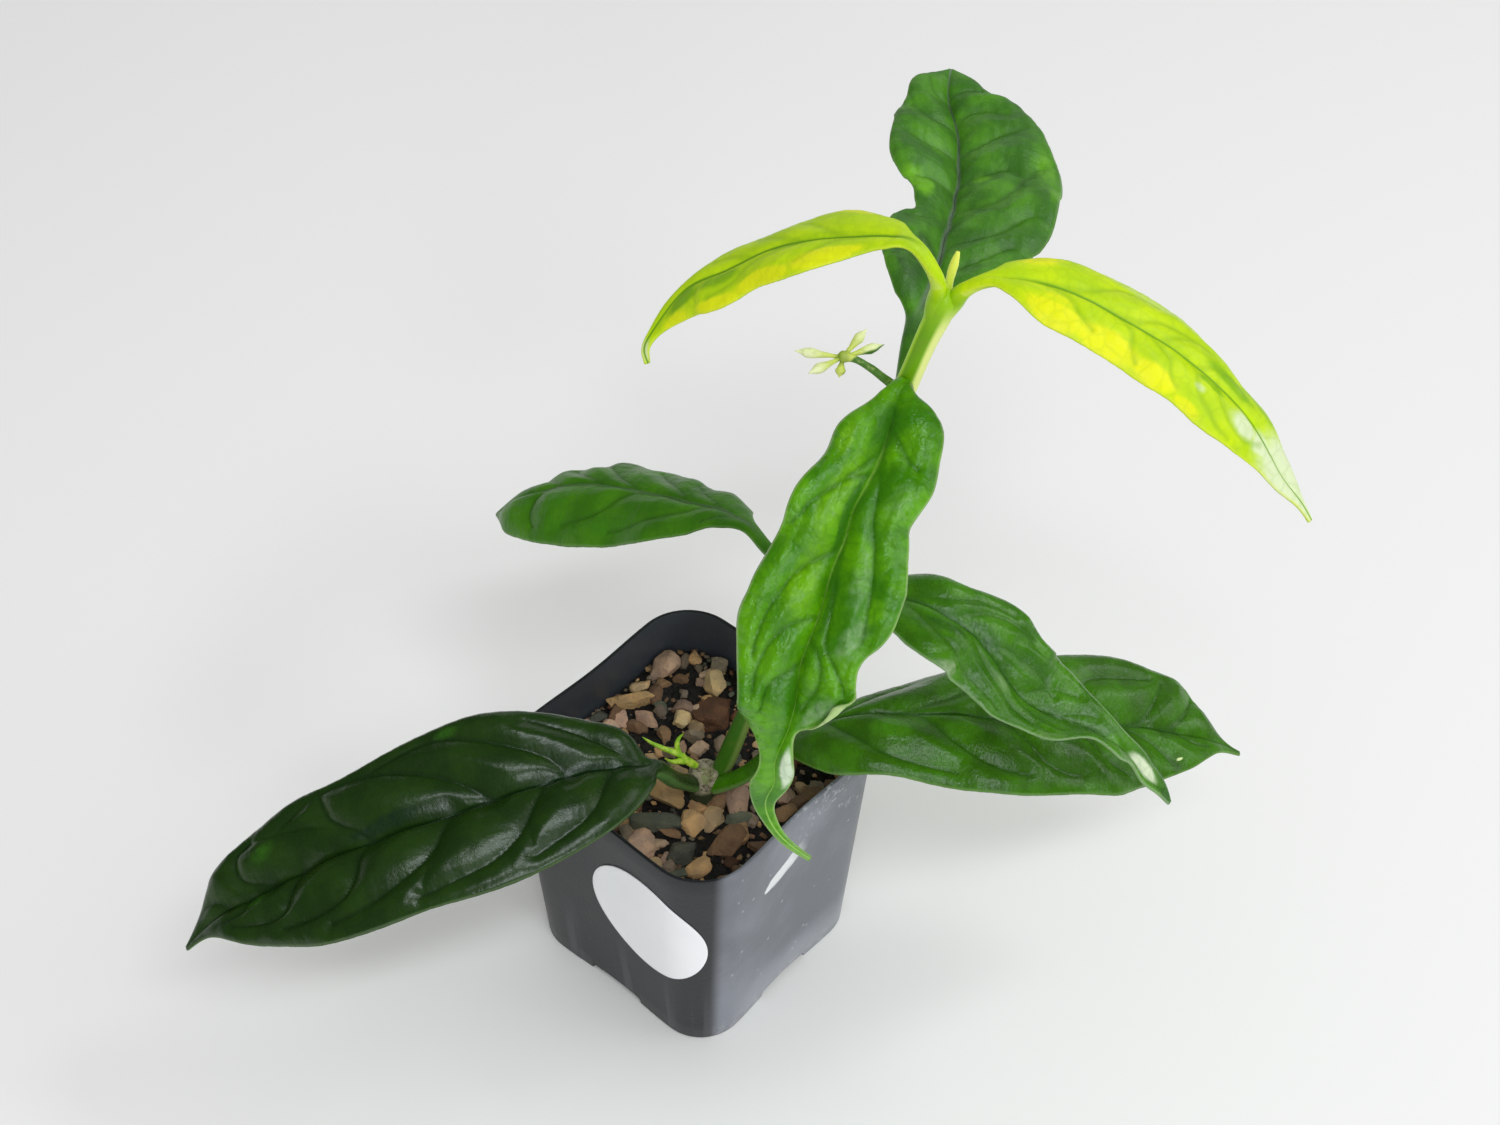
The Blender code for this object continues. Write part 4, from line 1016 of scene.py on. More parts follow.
def leaf_skin_group():
    """Leaf skin: veins, net, mottling, margin and underside, with painted glow, painted sheen and painted
    shade, from the leaf's own attributes.
    """
    group = bpy.data.node_groups.new("leaf_skin", "ShaderNodeTree")
    face = group.interface
    for name in SKIN_TONES:
        face.new_socket(name, in_out="INPUT", socket_type="NodeSocketColor")
    for name, value in SKIN_SHARES.items():
        face.new_socket(name, in_out="INPUT", socket_type="NodeSocketFloat").default_value = value
    face.new_socket("Color", in_out="OUTPUT", socket_type="NodeSocketColor")
    face.new_socket("Roughness", in_out="OUTPUT", socket_type="NodeSocketFloat")
    face.new_socket("Height", in_out="OUTPUT", socket_type="NodeSocketFloat")
    given = group.nodes.new("NodeGroupInput")
    result = group.nodes.new("NodeGroupOutput")

    def attribute(name):
        """A leaf attribute, whole and in its three parts."""
        source = node(group, "ShaderNodeAttribute", attribute_name=name)
        parts = node(group, "ShaderNodeSeparateXYZ")
        link(group, (source, "Vector"), (parts, 0))
        return (source, "Vector"), (parts, 0), (parts, 1), (parts, 2)

    _, t, v, upper = attribute("leaf_place")
    _, gap, edge, _ = attribute("leaf_veins")
    flat, _, d, _ = attribute("leaf_flat")
    _, bright, pale, painted_shade = attribute("leaf_painted_light")
    far = math_node(group, "ABSOLUTE", v)
    cloud = noise_mask(group, flat, 0.12, 3)
    mottle = noise_mask(group, flat, 0.5, 5, 0.6)
    wrinkle = noise_mask(group, flat, 1.5, 3, 0.55)
    net = band(group, cell_mask(group, flat, 0.32, "DISTANCE_TO_EDGE"), 0.16, 0.0)

    width = times(group, (given, "Vein Width"), math_node(group, "MULTIPLY_ADD", far, -0.45, 1.0))
    vein = band(group, math_node(group, "DIVIDE", gap, width), 1.8, 0.1)
    colour = mix_colour(group, band(group, cloud, 0.35, 0.65), (given, "Blade"), (given, "Deep"))
    colour = mix_colour(group, band(group, mottle, 0.5, 0.75, 0.0, 0.4), colour, (given, "Deep"))
    uneven = math_node(group, "MULTIPLY_ADD", mottle, 0.7, -0.35)
    # Painted shade, painted glow and painted sheen laid over the blade's own colours
    for mask, tone in ((painted_shade, "Painted Shade"), (bright, "Bright"), (pale, "Painted Sheen And Underside")):
        mask = band(group, times(group, math_node(group, "ADD", mask, uneven), mask), 0.08, 0.6)
        colour = mix_colour(group, mask, colour, (given, tone))
    colour = mix_colour(group, times(group, net, (given, "Net Share")), colour, (given, "Vein"))
    colour = mix_colour(group, times(group, vein, (given, "Vein Share")), colour, (given, "Vein"))
    rib_width = times(group, math_node(group, "MULTIPLY_ADD", t, -0.65, 1.0), (given, "Midrib Width"))
    rib = band(group, math_node(group, "DIVIDE", math_node(group, "ABSOLUTE", d), rib_width), 1.4, 0.5)
    rib = times(group, rib, band(group, t, 0.12, 0.24))
    colour = mix_colour(group, rib, colour, (given, "Midrib"))
    rim = times(group, band(group, edge, 0.6, 0.1), (given, "Margin Share"))
    colour = mix_colour(group, rim, colour, (given, "Margin"))
    under = band(group, upper, 0.6, 0.3)
    below = mix_colour(group, times(group, vein, 0.4), (given, "Underside"), (given, "Margin"))
    below = mix_colour(group, band(group, mottle, 0.4, 0.7, 0.0, 0.3), below, (given, "Blade"))
    colour = mix_colour(group, under, colour, below)
    link(group, colour, (result, "Color"))
    shine = math_node(group, "MULTIPLY_ADD", wrinkle, 0.18, (given, "Dullness"))
    shine = math_node(group, "MULTIPLY_ADD", under, 0.2, shine)
    link(group, shine, (result, "Roughness"))
    height = math_node(group, "MULTIPLY_ADD", wrinkle, 0.35, times(group, mottle, 0.8))
    height = math_node(group, "MULTIPLY_ADD", net, -0.06, height)
    link(group, height, (result, "Height"))
    return group


leaf_skin = leaf_skin_group()


def skin_material(name, codes, shares, depth=0.3, shine=0.5):
    """A leaf's own material: its paint codes, in the order of SKIN_TONES, and its shares of the leaf skin."""
    mat, tree, shader = new_material(name, 0.35)
    shader.inputs["Specular IOR Level"].default_value = shine
    skin = node(tree, "ShaderNodeGroup", node_tree=leaf_skin)
    for key, code in zip(SKIN_TONES, codes.split()):
        skin.inputs[key].default_value = tint(code)
    for key, value in shares.items():
        skin.inputs[key].default_value = value
    surface(tree, shader, (skin, "Color"), (skin, "Height"), depth, (skin, "Roughness"))
    return mat


def finish_leaf(piece, mat, cad_node):
    """Give a leaf its skin and put it in the place of its plain solid."""
    piece.data.materials.append(mat)
    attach(piece, "root")
    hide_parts(cad_node)


# In each leaf's patches below, bright is painted glow of light through the blade, pale is painted sheen and in
# places the pale underside, and dark is painted shade
low_left = leaf_blade(
    "low_left_blade", quilt=3.3, waves=((4, 0.6, 0.2), (4, 0.6, 0.6)), seed=1,
    rows=[
        (0.6, -8.8, 60.6, 2, 2, 0, 0), (-4.4, -14.6, 69.5, 2, 2, 0, 0), (-8.5, -20, 79.5, 3, 3, 0, 0),
        (-11.5, -22, 82, 7.5, 7, -8, 20), (-17.5, -24, 83, 13.5, 11, -10, 22),
        (-24.5, -26, 83, 16.5, 14.5, -11, 22), (-32, -28.5, 82.5, 18, 17, -12, 26),
        (-41, -31, 80.5, 19.5, 19, -12, 26), (-50.5, -33.5, 78, 20, 19.5, -12, 25),
        (-58.5, -35.5, 76, 19.5, 18.5, -12, 25), (-66, -37, 73.5, 19.5, 16.5, -12, 25),
        (-73.5, -38, 70, 19.5, 15.5, -12, 25), (-80.5, -39, 66, 18.5, 16, -12, 25),
        (-88, -40.5, 62, 15, 14, -12, 27), (-95, -42, 58, 10.5, 12, -10, 25),
        (-100, -43, 55.5, 7, 9.5, -8, 19), (-104.5, -44, 51.5, 3, 4.5, -5, 10),
        (-109.5, -46, 46, 0.6, 0.6, 0, 0),
    ],
    veins=[
        (24, 0, 26, -30, 28.3, -60, 34.3, -78, 39, -84),
        (34.3, 0, 36.7, -22, 39, -47, 45.3, -73, 52.7, -82, 56.7, -86),
        (38.7, -42, 39, -73, 39, -92),
        (49.3, 0, 51.3, -17, 53, -37, 59, -63, 65.3, -77, 71, -82),
        (53.7, -42, 55.7, -72, 56.7, -87),
        (62.3, 0, 64.7, -15, 65.5, -35, 67, -53, 72.3, -67, 80, -76),
        (66, -43, 69.3, -55, 71.7, -88),
        (75, 0, 77.3, -23, 79, -50, 84, -62, 89, -60),
        (85, 0, 87.5, -30, 92, -50),
        (20, 0, 23, 30, 28, 60, 35, 82),
        (31, 0, 33, 23, 38.3, 50, 43.3, 67, 50.3, 84, 58.3, 83, 62, 82),
        (43, 0, 46.7, 23, 52.7, 50, 62, 82, 68.7, 88),
        (62.3, 0, 65, 22, 68, 45, 69, 73, 69.3, 97),
        (65.3, 12, 68.3, 33, 77.7, 63, 82, 83),
        (80, 0, 83, 15, 85.5, 35, 86, 66, 82, 83),
        (68.7, 88, 73, 75, 77.7, 63),
        (89, 0, 92, 40, 95, 60),
    ],
    patches={
        "bright": [(84, -20, 3, 16, 50), (79, -30, 3, 12, 35), (80, 45, 3, 20, 50),
            (47, 86, 3, 10, 50)],
        "painted_shade": [(60, 12, 10, 10, 60), (28, 5, 6, 10, 60)],
    })
finish_leaf(low_left, skin_material(
    "low_left_skin",
    "223e0c 1b350a 10260e 183414 54703a 4f7a3a 3c7a14 9ab58a 0f2a1a",
    {"Vein Share": 0.45, "Net Share": 0.1, "Dullness": 0.2}, 0.12, 0.45), "leaf_low_left")

# Low right leaf
# The other leaf of the lowest pair, mid green, broad and gently waved, lying out to the right.

low_right = leaf_blade(
    "low_right_blade", quilt=2.8, waves=((4, 0.6, 0.2), (5, 0.8, 0.6)), seed=2,
    rows=[
        (4.6, -8.8, 60, 2, 2, 0, 0), (12.5, -9.6, 66, 2, 2, 0, 0), (19.5, -7.6, 73, 2.5, 2.5, -20, 0),
        (23.5, -8, 77.5, 7, 7, -35, -8), (28, -8.5, 81.5, 9.5, 11.5, -40, -13),
        (35.5, -9, 85, 12, 15, -34, -12), (46.5, -9, 86, 16, 16, -25, -12),
        (60, -8.5, 85, 17, 18.5, -13, -12), (70, -8, 83.5, 17, 19, 0, -12),
        (80, -6, 80.5, 18, 17.5, 11, -12), (90, -3, 77.5, 17, 19, 15, -12),
        (97.5, -2, 75.5, 16.5, 16, 15, -12), (105.5, -1.5, 73.5, 15.5, 11.5, 13, -12),
        (111.5, -1, 71.5, 14.5, 8.5, 9, -9), (116.5, -0.5, 69.5, 8, 4.5, 4, -4),
        (120.5, 0, 67, 2, 2, 0, 0), (124.5, 0, 64.5, 0.6, 0.6, 0, 0),
    ],
    veins=[
        (25, 0, 27, 20, 31, 48, 34.7, 70, 41, 80, 46.3, 83),
        (37, 0, 41, 10, 44.3, 32, 49.7, 62, 53.3, 73, 57.3, 77),
        (45.3, 83, 47.7, 60, 47.7, 40),
        (50.7, 0, 55, 14, 58, 40, 60, 62, 65, 80),
        (60, 60, 59.3, 90),
        (62, 0, 65.7, 15, 68.7, 35, 71.3, 60, 76, 80),
        (74, 0, 77.3, 12, 81, 33, 84, 65, 86, 85),
        (86, 0, 89, 30, 92, 50),
        (26, 0, 29, -30, 34, -60, 40, -80),
        (38, 0, 41.7, -12, 45, -24, 48.7, -40, 54, -62, 60, -80),
        (54, 0, 57, -20, 60, -50, 65, -75),
        (66, 0, 68, -17, 70.7, -50, 76.3, -62, 82, -74),
        (77.7, 0, 80, -8, 82, -30, 83.2, -50, 84.3, -72),
        (83.7, 0, 86, -10, 88.7, -37, 90, -65),
    ],
    patches={
        "bright": [(36, 35, 5, 25, 60), (47, 30, 5, 20, 60), (55, 55, 3, 15, 35), (88, -85, 3, 12, 50)],
        "pale": [(86.2, 72, 0.6, 3, 100)],
        "painted_shade": [(70, 40, 12, 35, 35), (40, 2, 10, 6, 60), (58, 0, 10, 12, 40)],
    })
finish_leaf(low_right, skin_material(
    "low_right_skin",
    "3e7800 305e00 224a0a 34601e 7aa055 6f9a50 4a8a10 cfe0a0 265020",
    {"Vein Share": 0.5, "Net Share": 0.1, "Dullness": 0.2}, 0.3, 0.42), "leaf_low_right")

# Middle leaves
# The pair half way up the stem, each on a long dark petiole: the left one swings behind the pot, the
# right one hangs forward and folds along its midrib, with a pale band painted near its tip where a curl
# would show its pale underside.

THIN_PETIOLE = 1.5

mid_left = leaf_blade(
    "mid_left_blade", quilt=2.2, waves=((5, 0.5, 0.1), (8, 0.7, 0.7)), petiole=THIN_PETIOLE, seed=3,
    rows=[
        (24, -0.4, 114, 1.9, 1.9, 0, 0), (19.6, 7, 114.6, 1.9, 1.9, 0, 0),
        (15, 13, 115, 1.9, 1.9, 0, 0), (12, 17.5, 115.5, 2.5, 2.5, -6, -6),
        (8.5, 21.5, 115, 4, 5, -11, -11), (5.5, 25.5, 113.5, 7, 6, -11, -11),
        (1, 29.5, 111, 10, 8.5, -10, -10), (-4.5, 34, 108.5, 14, 9, -14, -12),
        (-10, 38.5, 106, 14.5, 13.5, -20, -17), (-16.5, 43.5, 103, 16, 14, -25, -20),
        (-23, 48, 100, 17, 16, -25, -20), (-30, 52, 96.5, 16, 13.5, -23, -20),
        (-36.5, 55, 92, 15, 11, -21, -20), (-41.5, 57, 88, 12, 8.5, -18, -18),
        (-45, 58.5, 84.5, 9, 5.5, -12, -12), (-47.5, 59.5, 81.5, 5, 3, -6, -7),
        (-50, 60, 79, 0.6, 0.6, 0, 0),
    ],
    veins=[
        (49.3, 0, 53.3, -7, 56, -15, 59.7, -42, 62.3, -56, 67.7, -67, 72, -74),
        (32.7, 0, 36.7, -30, 42, -50, 44.7, -57, 49.7, -72, 56, -80),
        (70, 0, 77, -3, 81.7, -8, 83.3, -24, 84, -50, 82, -78),
        (50, -60, 56, -60, 62, -56),
        (25, 0, 27, -40, 31, -70),
        (54, 0, 59, 13, 64.3, 30, 68, 50, 72, 75),
        (40, 0, 45, 30, 52.3, 50, 56, 70),
        (30, 0, 34, 25, 39.7, 53, 42.7, 75),
        (65.3, 0, 69.7, 13, 74.3, 33, 78, 60),
        (78, 0, 82, 30, 86, 60),
    ],
    patches={
        "bright": [(55, -72, 12, 22, 70), (72, -75, 8, 20, 60), (75, -35, 5, 30, 70),
            (47, -55, 4, 12, 40)],
        "pale": [(60, 80, 25, 30, 30), (88, -30, 5, 60, 35)],
        "painted_shade": [(42, 15, 12, 20, 40), (62, 10, 10, 16, 40), (83, -35, 3, 35, 35),
            (57, -30, 4, 20, 35)],
    })
finish_leaf(mid_left, skin_material(
    "mid_left_skin",
    "448002 367002 2c560e 4e7040 6f9250 6a9450 3c7a08 7d9484 284a14",
    {"Vein Share": 0.45, "Net Share": 0.1, "Dullness": 0.26}, 0.3, 0.35), "leaf_mid_left")

mid_right = leaf_blade(
    "mid_right_blade", quilt=2.6, waves=((4, 0.8, 0.1), (5, 0.8, 0.5)), petiole=THIN_PETIOLE, seed=4,
    rows=[
        (24.6, -0.4, 114.6, 1.9, 1.9, 0, 0), (34, -3, 115.8, 1.9, 1.9, 0, 0),
        (42, -5, 117.5, 7.5, 7, 0, 0), (47.5, -8, 119, 8.5, 10, 4, -2), (53.5, -11, 118, 9, 13, 7, -4),
        (59, -13, 114.5, 12, 12.5, 10, -3), (62.5, -15.5, 111, 13, 11, 13, 1),
        (66, -17.5, 106.5, 12, 11.5, 16, 6), (69.5, -19.5, 102.5, 13, 9.5, 19, 12),
        (74, -21, 100, 12.5, 9.5, 20, 21), (79.5, -23, 98.5, 10, 9, 20, 31),
        (85, -24.5, 97.5, 6, 4.5, 20, 35), (89, -26, 96, 4, 5, 20, 29),
        (92.5, -27, 93, 4, 1.5, 15, 18), (95.5, -28.5, 89.5, 4.5, 2, 9, 8),
        (98.5, -29.5, 87, 3.5, 1.5, 4, 3), (101.5, -31, 84, 0.6, 0.6, 0, 0),
    ],
    veins=[
        (20, 0, 23, 20, 31.3, 45, 38, 65, 46, 76, 53, 82),
        (35.7, 0, 42, 20, 47.3, 35, 53.3, 48, 59, 66, 66, 78),
        (35, 60, 34, 85),
        (50, 0, 56, 20, 62, 40, 68, 60),
        (21, 0, 26.3, -20, 30.3, -36, 36, -65, 43, -76),
        (33, 0, 35.7, -22, 40, -50, 43.3, -63, 50, -78),
        (42.7, 0, 45.7, -22, 50.7, -38, 55, -47, 61, -42, 64, -30),
        (45.7, -22, 47, -50, 51.3, -72, 57, -80),
        (55, 0, 58, -15, 61.5, -33, 66, -50, 70, -62),
        (64, 0, 69, -20, 75, -50),
    ],
    patches={
        "bright": [(30, 15, 5, 20, 50), (27, 70, 4, 15, 50), (60, -50, 5, 20, 30),
            (80, -10, 2, 30, 90)],
        "pale": [(38, 92, 5, 14, 50), (66, 90, 6, 14, 40), (50, 30, 5, 20, 40), (57, 50, 5, 20, 35),
            (89.5, -10, 5, 45, 100)],
        "painted_shade": [(33, 30, 6, 12, 60), (42, -15, 7, 16, 60), (55, -5, 6, 12, 40), (98, 0, 3, 100, 60)],
    })
finish_leaf(mid_right, skin_material(
    "mid_right_skin",
    "468204 326802 306010 3a6a26 a5c290 8fb070 4f8f14 d3e0bc 24501a",
    {"Vein Share": 0.4, "Net Share": 0.15, "Margin Share": 0.4, "Dullness": 0.18}),
    "leaf_mid_right")

# Front leaf
# The bright leaf that hangs down the front of the stem, waved and puckered, its right margin curled
# over and its tip drawn out into a twisted ribbon.

front = leaf_blade(
    "front_blade", quilt=3.4, waves=((5, 1, 0.1), (6, 1.2, 0.4)), face=(0, -1, 1),
    curl=(-1, 0.58, 0.7, 0.84, 1.1, 1.3), ripple=0.18, seed=5,
    rows=[
        (41.5, 3.4, 166.5, 2, 2, 0, 0), (40.5, -1, 170.5, 4, 3, 0, 0), (39.5, -4, 169, 8, 4.5, 5, 5),
        (38.5, -7, 166.5, 10.5, 8, 9, 8), (37.5, -10, 164, 11, 10, 10, 8),
        (35.5, -14, 161, 12, 10, 11, 9), (33.5, -17.5, 159, 11.5, 10.5, 12, 10),
        (31.5, -20.5, 156.5, 11.5, 12, 13, 10), (30, -24.5, 152.5, 13, 12.5, 15, 8),
        (28, -28, 149, 15, 12.5, 17, 7), (26.5, -32, 145.5, 15, 14, 18, 6),
        (25, -36, 142, 14, 14.5, 20, 5), (23.5, -39, 139.5, 11.5, 14.5, 20, 5),
        (22, -42, 136, 11.5, 12.5, 20, 5), (21.5, -44, 132, 11, 11.5, 20, 5),
        (21, -46, 128, 6.5, 11, 22, 6), (20, -47.5, 124, 2, 9.5, 25, 5),
        (18.5, -49.5, 120.5, 3, 5, 24, 2), (17.5, -50.5, 116.5, 4, 3, 12, 0),
        (17.5, -51, 112, 3, 4.5, -2, 0), (16, -51.5, 107.5, 2, 3, -1, 0),
        (16.5, -52.5, 103.5, 1.5, 1.5, 1, 0), (19, -54.5, 100, 1, 1, 0, 0),
        (25, -57, 96, 0.6, 0.6, 0, 0),
    ],
    veins=[
        (16, 0, 20, 18, 22, 28, 26, 45, 30, 68, 34, 86),
        (22, 0, 25, 38, 27.3, 50, 31, 77),
        (34, 0, 36.3, 8, 39.3, 32, 44, 55, 51, 65, 56.7, 75),
        (48.3, 0, 51.3, 32, 54.7, 50, 58, 66, 62, 75),
        (56, 0, 58, 15, 60, 43, 66, 60),
        (13, 0, 14.7, -20, 16, -33, 17.3, -43, 18.3, -65),
        (16.7, 0, 22.7, -17, 26.7, -32, 32.3, -43, 39.3, -55, 45, -60, 50, -75),
        (31, -43, 33, -70, 34, -90),
        (33.7, 0, 41.7, -9, 47.7, -17, 53, -35, 55, -57, 59, -80),
        (52.3, 0, 54.7, -28, 57.7, -38, 61.7, -30, 64.7, -23),
    ],
    patches={
        "bright": [(28, 40, 12, 30, 60), (42, 35, 12, 30, 60), (18, 75, 5, 20, 60),
            (55, 40, 6, 30, 40)],
        "pale": [(40, -40, 10, 20, 40), (50, -60, 5, 25, 45), (25, -60, 6, 30, 38),
            (64, -60, 4.5, 35, 45), (76.5, -65, 4.5, 35, 100)],
        "painted_shade": [(27, -10, 8, 10, 50), (46, -12, 8, 8, 70), (13, 10, 7, 35, 70), (18, -30, 3, 15, 40),
            (70, 25, 4, 25, 50), (85, 30, 6, 40, 50), (30, 12, 10, 8, 80), (60, 10, 5, 12, 60)],
    })
finish_leaf(front, skin_material(
    "front_skin",
    "5ca002 3a7c04 2e6606 8cbc4a b8d085 b4cf86 78b606 cfe0c0 357010",
    {"Vein Share": 0.6, "Net Share": 0.2, "Margin Share": 0.35, "Midrib Width": 0.6, "Dullness": 0.12}, 0.55),
    "leaf_front")

# Back leaf
# The partner of the front leaf, dark green with a grey sheen, reaching away behind the stem, with a
# bite out of its left margin where it was damaged as a bud.

back = leaf_blade(
    "back_blade", quilt=2.8, waves=((4, 1, 0.3), (4, 1.2, 0.1)), ripple=0.1, seed=6,
    rows=[
        (41.6, 4.4, 166.4, 2, 2, 0, 0), (43, 13, 170.5, 2.2, 3, 0, 0),
        (44.5, 20.5, 171, 3, 3.5, 10, 0), (46.5, 27, 171, 8, 5, 20, 0),
        (48.5, 34, 171, 12, 11.5, 23, -1), (50.5, 42.5, 171.5, 13, 17, 22, 0),
        (51.5, 48, 171.5, 11.5, 19.5, 22, 2), (52.5, 51.5, 171, 8.5, 21, 23, 3),
        (53, 55.5, 170.5, 8.5, 22, 24, 4), (54, 59.5, 170.5, 10, 22, 25, 5),
        (54.5, 64, 170, 13, 22.5, 25, 5), (55.5, 69, 170, 16, 22.5, 25, 5),
        (56, 77, 170.5, 16.5, 21.5, 22, 5), (56.5, 85.5, 171, 15.5, 18.5, 20, 5),
        (56, 92, 171.5, 14.5, 16, 20, 5), (55, 98.5, 172.5, 10.5, 13.5, 22, 6),
        (55, 103, 173.5, 8.5, 9, 20, 5), (55.5, 107, 174, 4, 5.5, 15, 3),
        (56, 110, 174.5, 0.6, 0.6, 10, 0),
    ],
    veins=[
        (28, 0, 30, 20, 34, 50, 40, 75),
        (37, 0, 39, 20, 42, 45, 45.3, 60, 50, 78),
        (50, 0, 51.5, 12, 52.3, 32, 56, 52, 62.3, 60),
        (61, 0, 62.7, 12, 64.3, 33, 65, 50, 63, 62, 66, 78),
        (68.3, 0, 71.3, 6, 73.3, 22, 76, 52, 77.5, 82),
        (81, 0, 83.7, 18, 83.5, 45, 81.5, 70),
        (90, 0, 92, 40, 92, 70),
        (30, 0, 31, -30, 33, -60),
        (47.7, 0, 44.7, -33, 43, -60, 42, -83),
        (57, 0, 58, -13, 58.5, -38, 57.5, -72),
        (66.7, 0, 69, -10, 70, -45, 72, -80),
        (77, 0, 79, -10, 81, -43, 86, -80),
        (88, 0, 91, -40, 94, -60),
    ],
    patches={
        "bright": [(55, -75, 5, 30, 90), (70, -35, 3, 20, 50), (62, 22, 2.5, 12, 70),
            (66, 85, 6, 14, 60), (52, 35, 3, 20, 50), (57, 95, 5, 10, 60), (80, 70, 4, 12, 40)],
        "pale": [(72, 40, 5, 30, 38), (85, 25, 5, 30, 30), (95, -10, 3, 50, 40), (55, 55, 3, 15, 35),
            (42, -50, 5, 35, 30)],
        "painted_shade": [(49, -15, 9, 20, 50), (33, -30, 8, 30, 60), (40, 25, 4, 25, 40), (28, -50, 8, 50, 60)],
    })
finish_leaf(back, skin_material(
    "back_skin",
    "4e8e10 387014 366418 6a8064 78a84c 6a9450 68ac08 98ac90 2c4a22",
    {"Vein Share": 0.4, "Net Share": 0.12, "Midrib Width": 1.2, "Dullness": 0.34}), "leaf_back")

# Young leaves
# The newest pair, still thin and soft, yellow green with green veins, drooping to each side of the tip.

YOUNG_PETIOLE = 1.5

young_left = leaf_blade(
    "young_left_blade", quilt=1.1, waves=((5, 0.4, 0.1), (5, 0.4, 0.6)), petiole=YOUNG_PETIOLE, seed=7,
    rows=[
        (46.4, 4.9, 188, 1.5, 1.5, 0, 0), (46, 3.6, 193, 1.6, 1.6, 0, 0), (44.5, 4, 196, 2, 2, 0, 0),
        (41.5, 6, 199, 2.5, 2.5, 0, 0), (37, 8.5, 199, 3.5, 6, -6, -2),
        (31, 10.5, 197.5, 5.5, 9, -7, -4), (24.5, 12.5, 195.5, 8.5, 11.5, -8, -6),
        (18, 14, 193, 9.5, 8.5, -8, -8), (12, 15, 189.5, 9, 7, -8, -8),
        (5.5, 15, 185.5, 9.5, 7.5, -8, -8), (-0.5, 15, 182, 8, 3, -6, -6),
        (-4.5, 13.5, 178, 5, 2, -3, -4), (-8, 11, 173.5, 1.5, 1, 0, -2), (-9.5, 9, 171, 1, 0.6, 0, -1),
        (-9, 8, 168.5, 0.6, 0.6, 0, 0),
    ],
    veins=[
        (27, 0, 33.3, -17, 37, -24, 40, -40, 46, -68),
        (44, 0, 50, -20, 56, -26, 60, -33, 61.7, -42, 66, -58, 72, -70),
        (60, 0, 66, -5, 73, -12, 75.7, -43, 76, -65),
        (70.7, 0, 77, -9, 81.3, -22, 84.3, -40),
        (34, 0, 40, 20, 43.3, 40, 47.3, 67),
        (46, 0, 51.3, 27, 55.3, 55, 58.3, 70),
        (59.7, 0, 63, 25, 66.3, 42, 70, 55),
    ],
    patches={
        "bright": [(38, -75, 10, 30, 100), (56, -85, 10, 22, 100), (70, -90, 8, 20, 90),
            (85, -80, 6, 40, 70), (35, 85, 8, 20, 70)],
        "pale": [(50, 75, 15, 20, 40), (97, 0, 4, 100, 80), (18, 0, 6, 100, 40)],
        "painted_shade": [(68, -30, 8, 25, 70), (48, -10, 8, 10, 70), (80, -30, 7, 30, 80),
            (40, 10, 20, 10, 50), (55, 30, 10, 20, 40)],
    })
finish_leaf(young_left, skin_material(
    "young_left_skin",
    "bcdc04 aed204 7aa60c 689a10 d4e044 c0dc50 dce408 d0dc9c 7cae08",
    {"Vein Share": 0.35, "Net Share": 0.1, "Dullness": 0.32, "Midrib Width": 0.7}, 0.2, 0.22),
    "leaf_young_left")

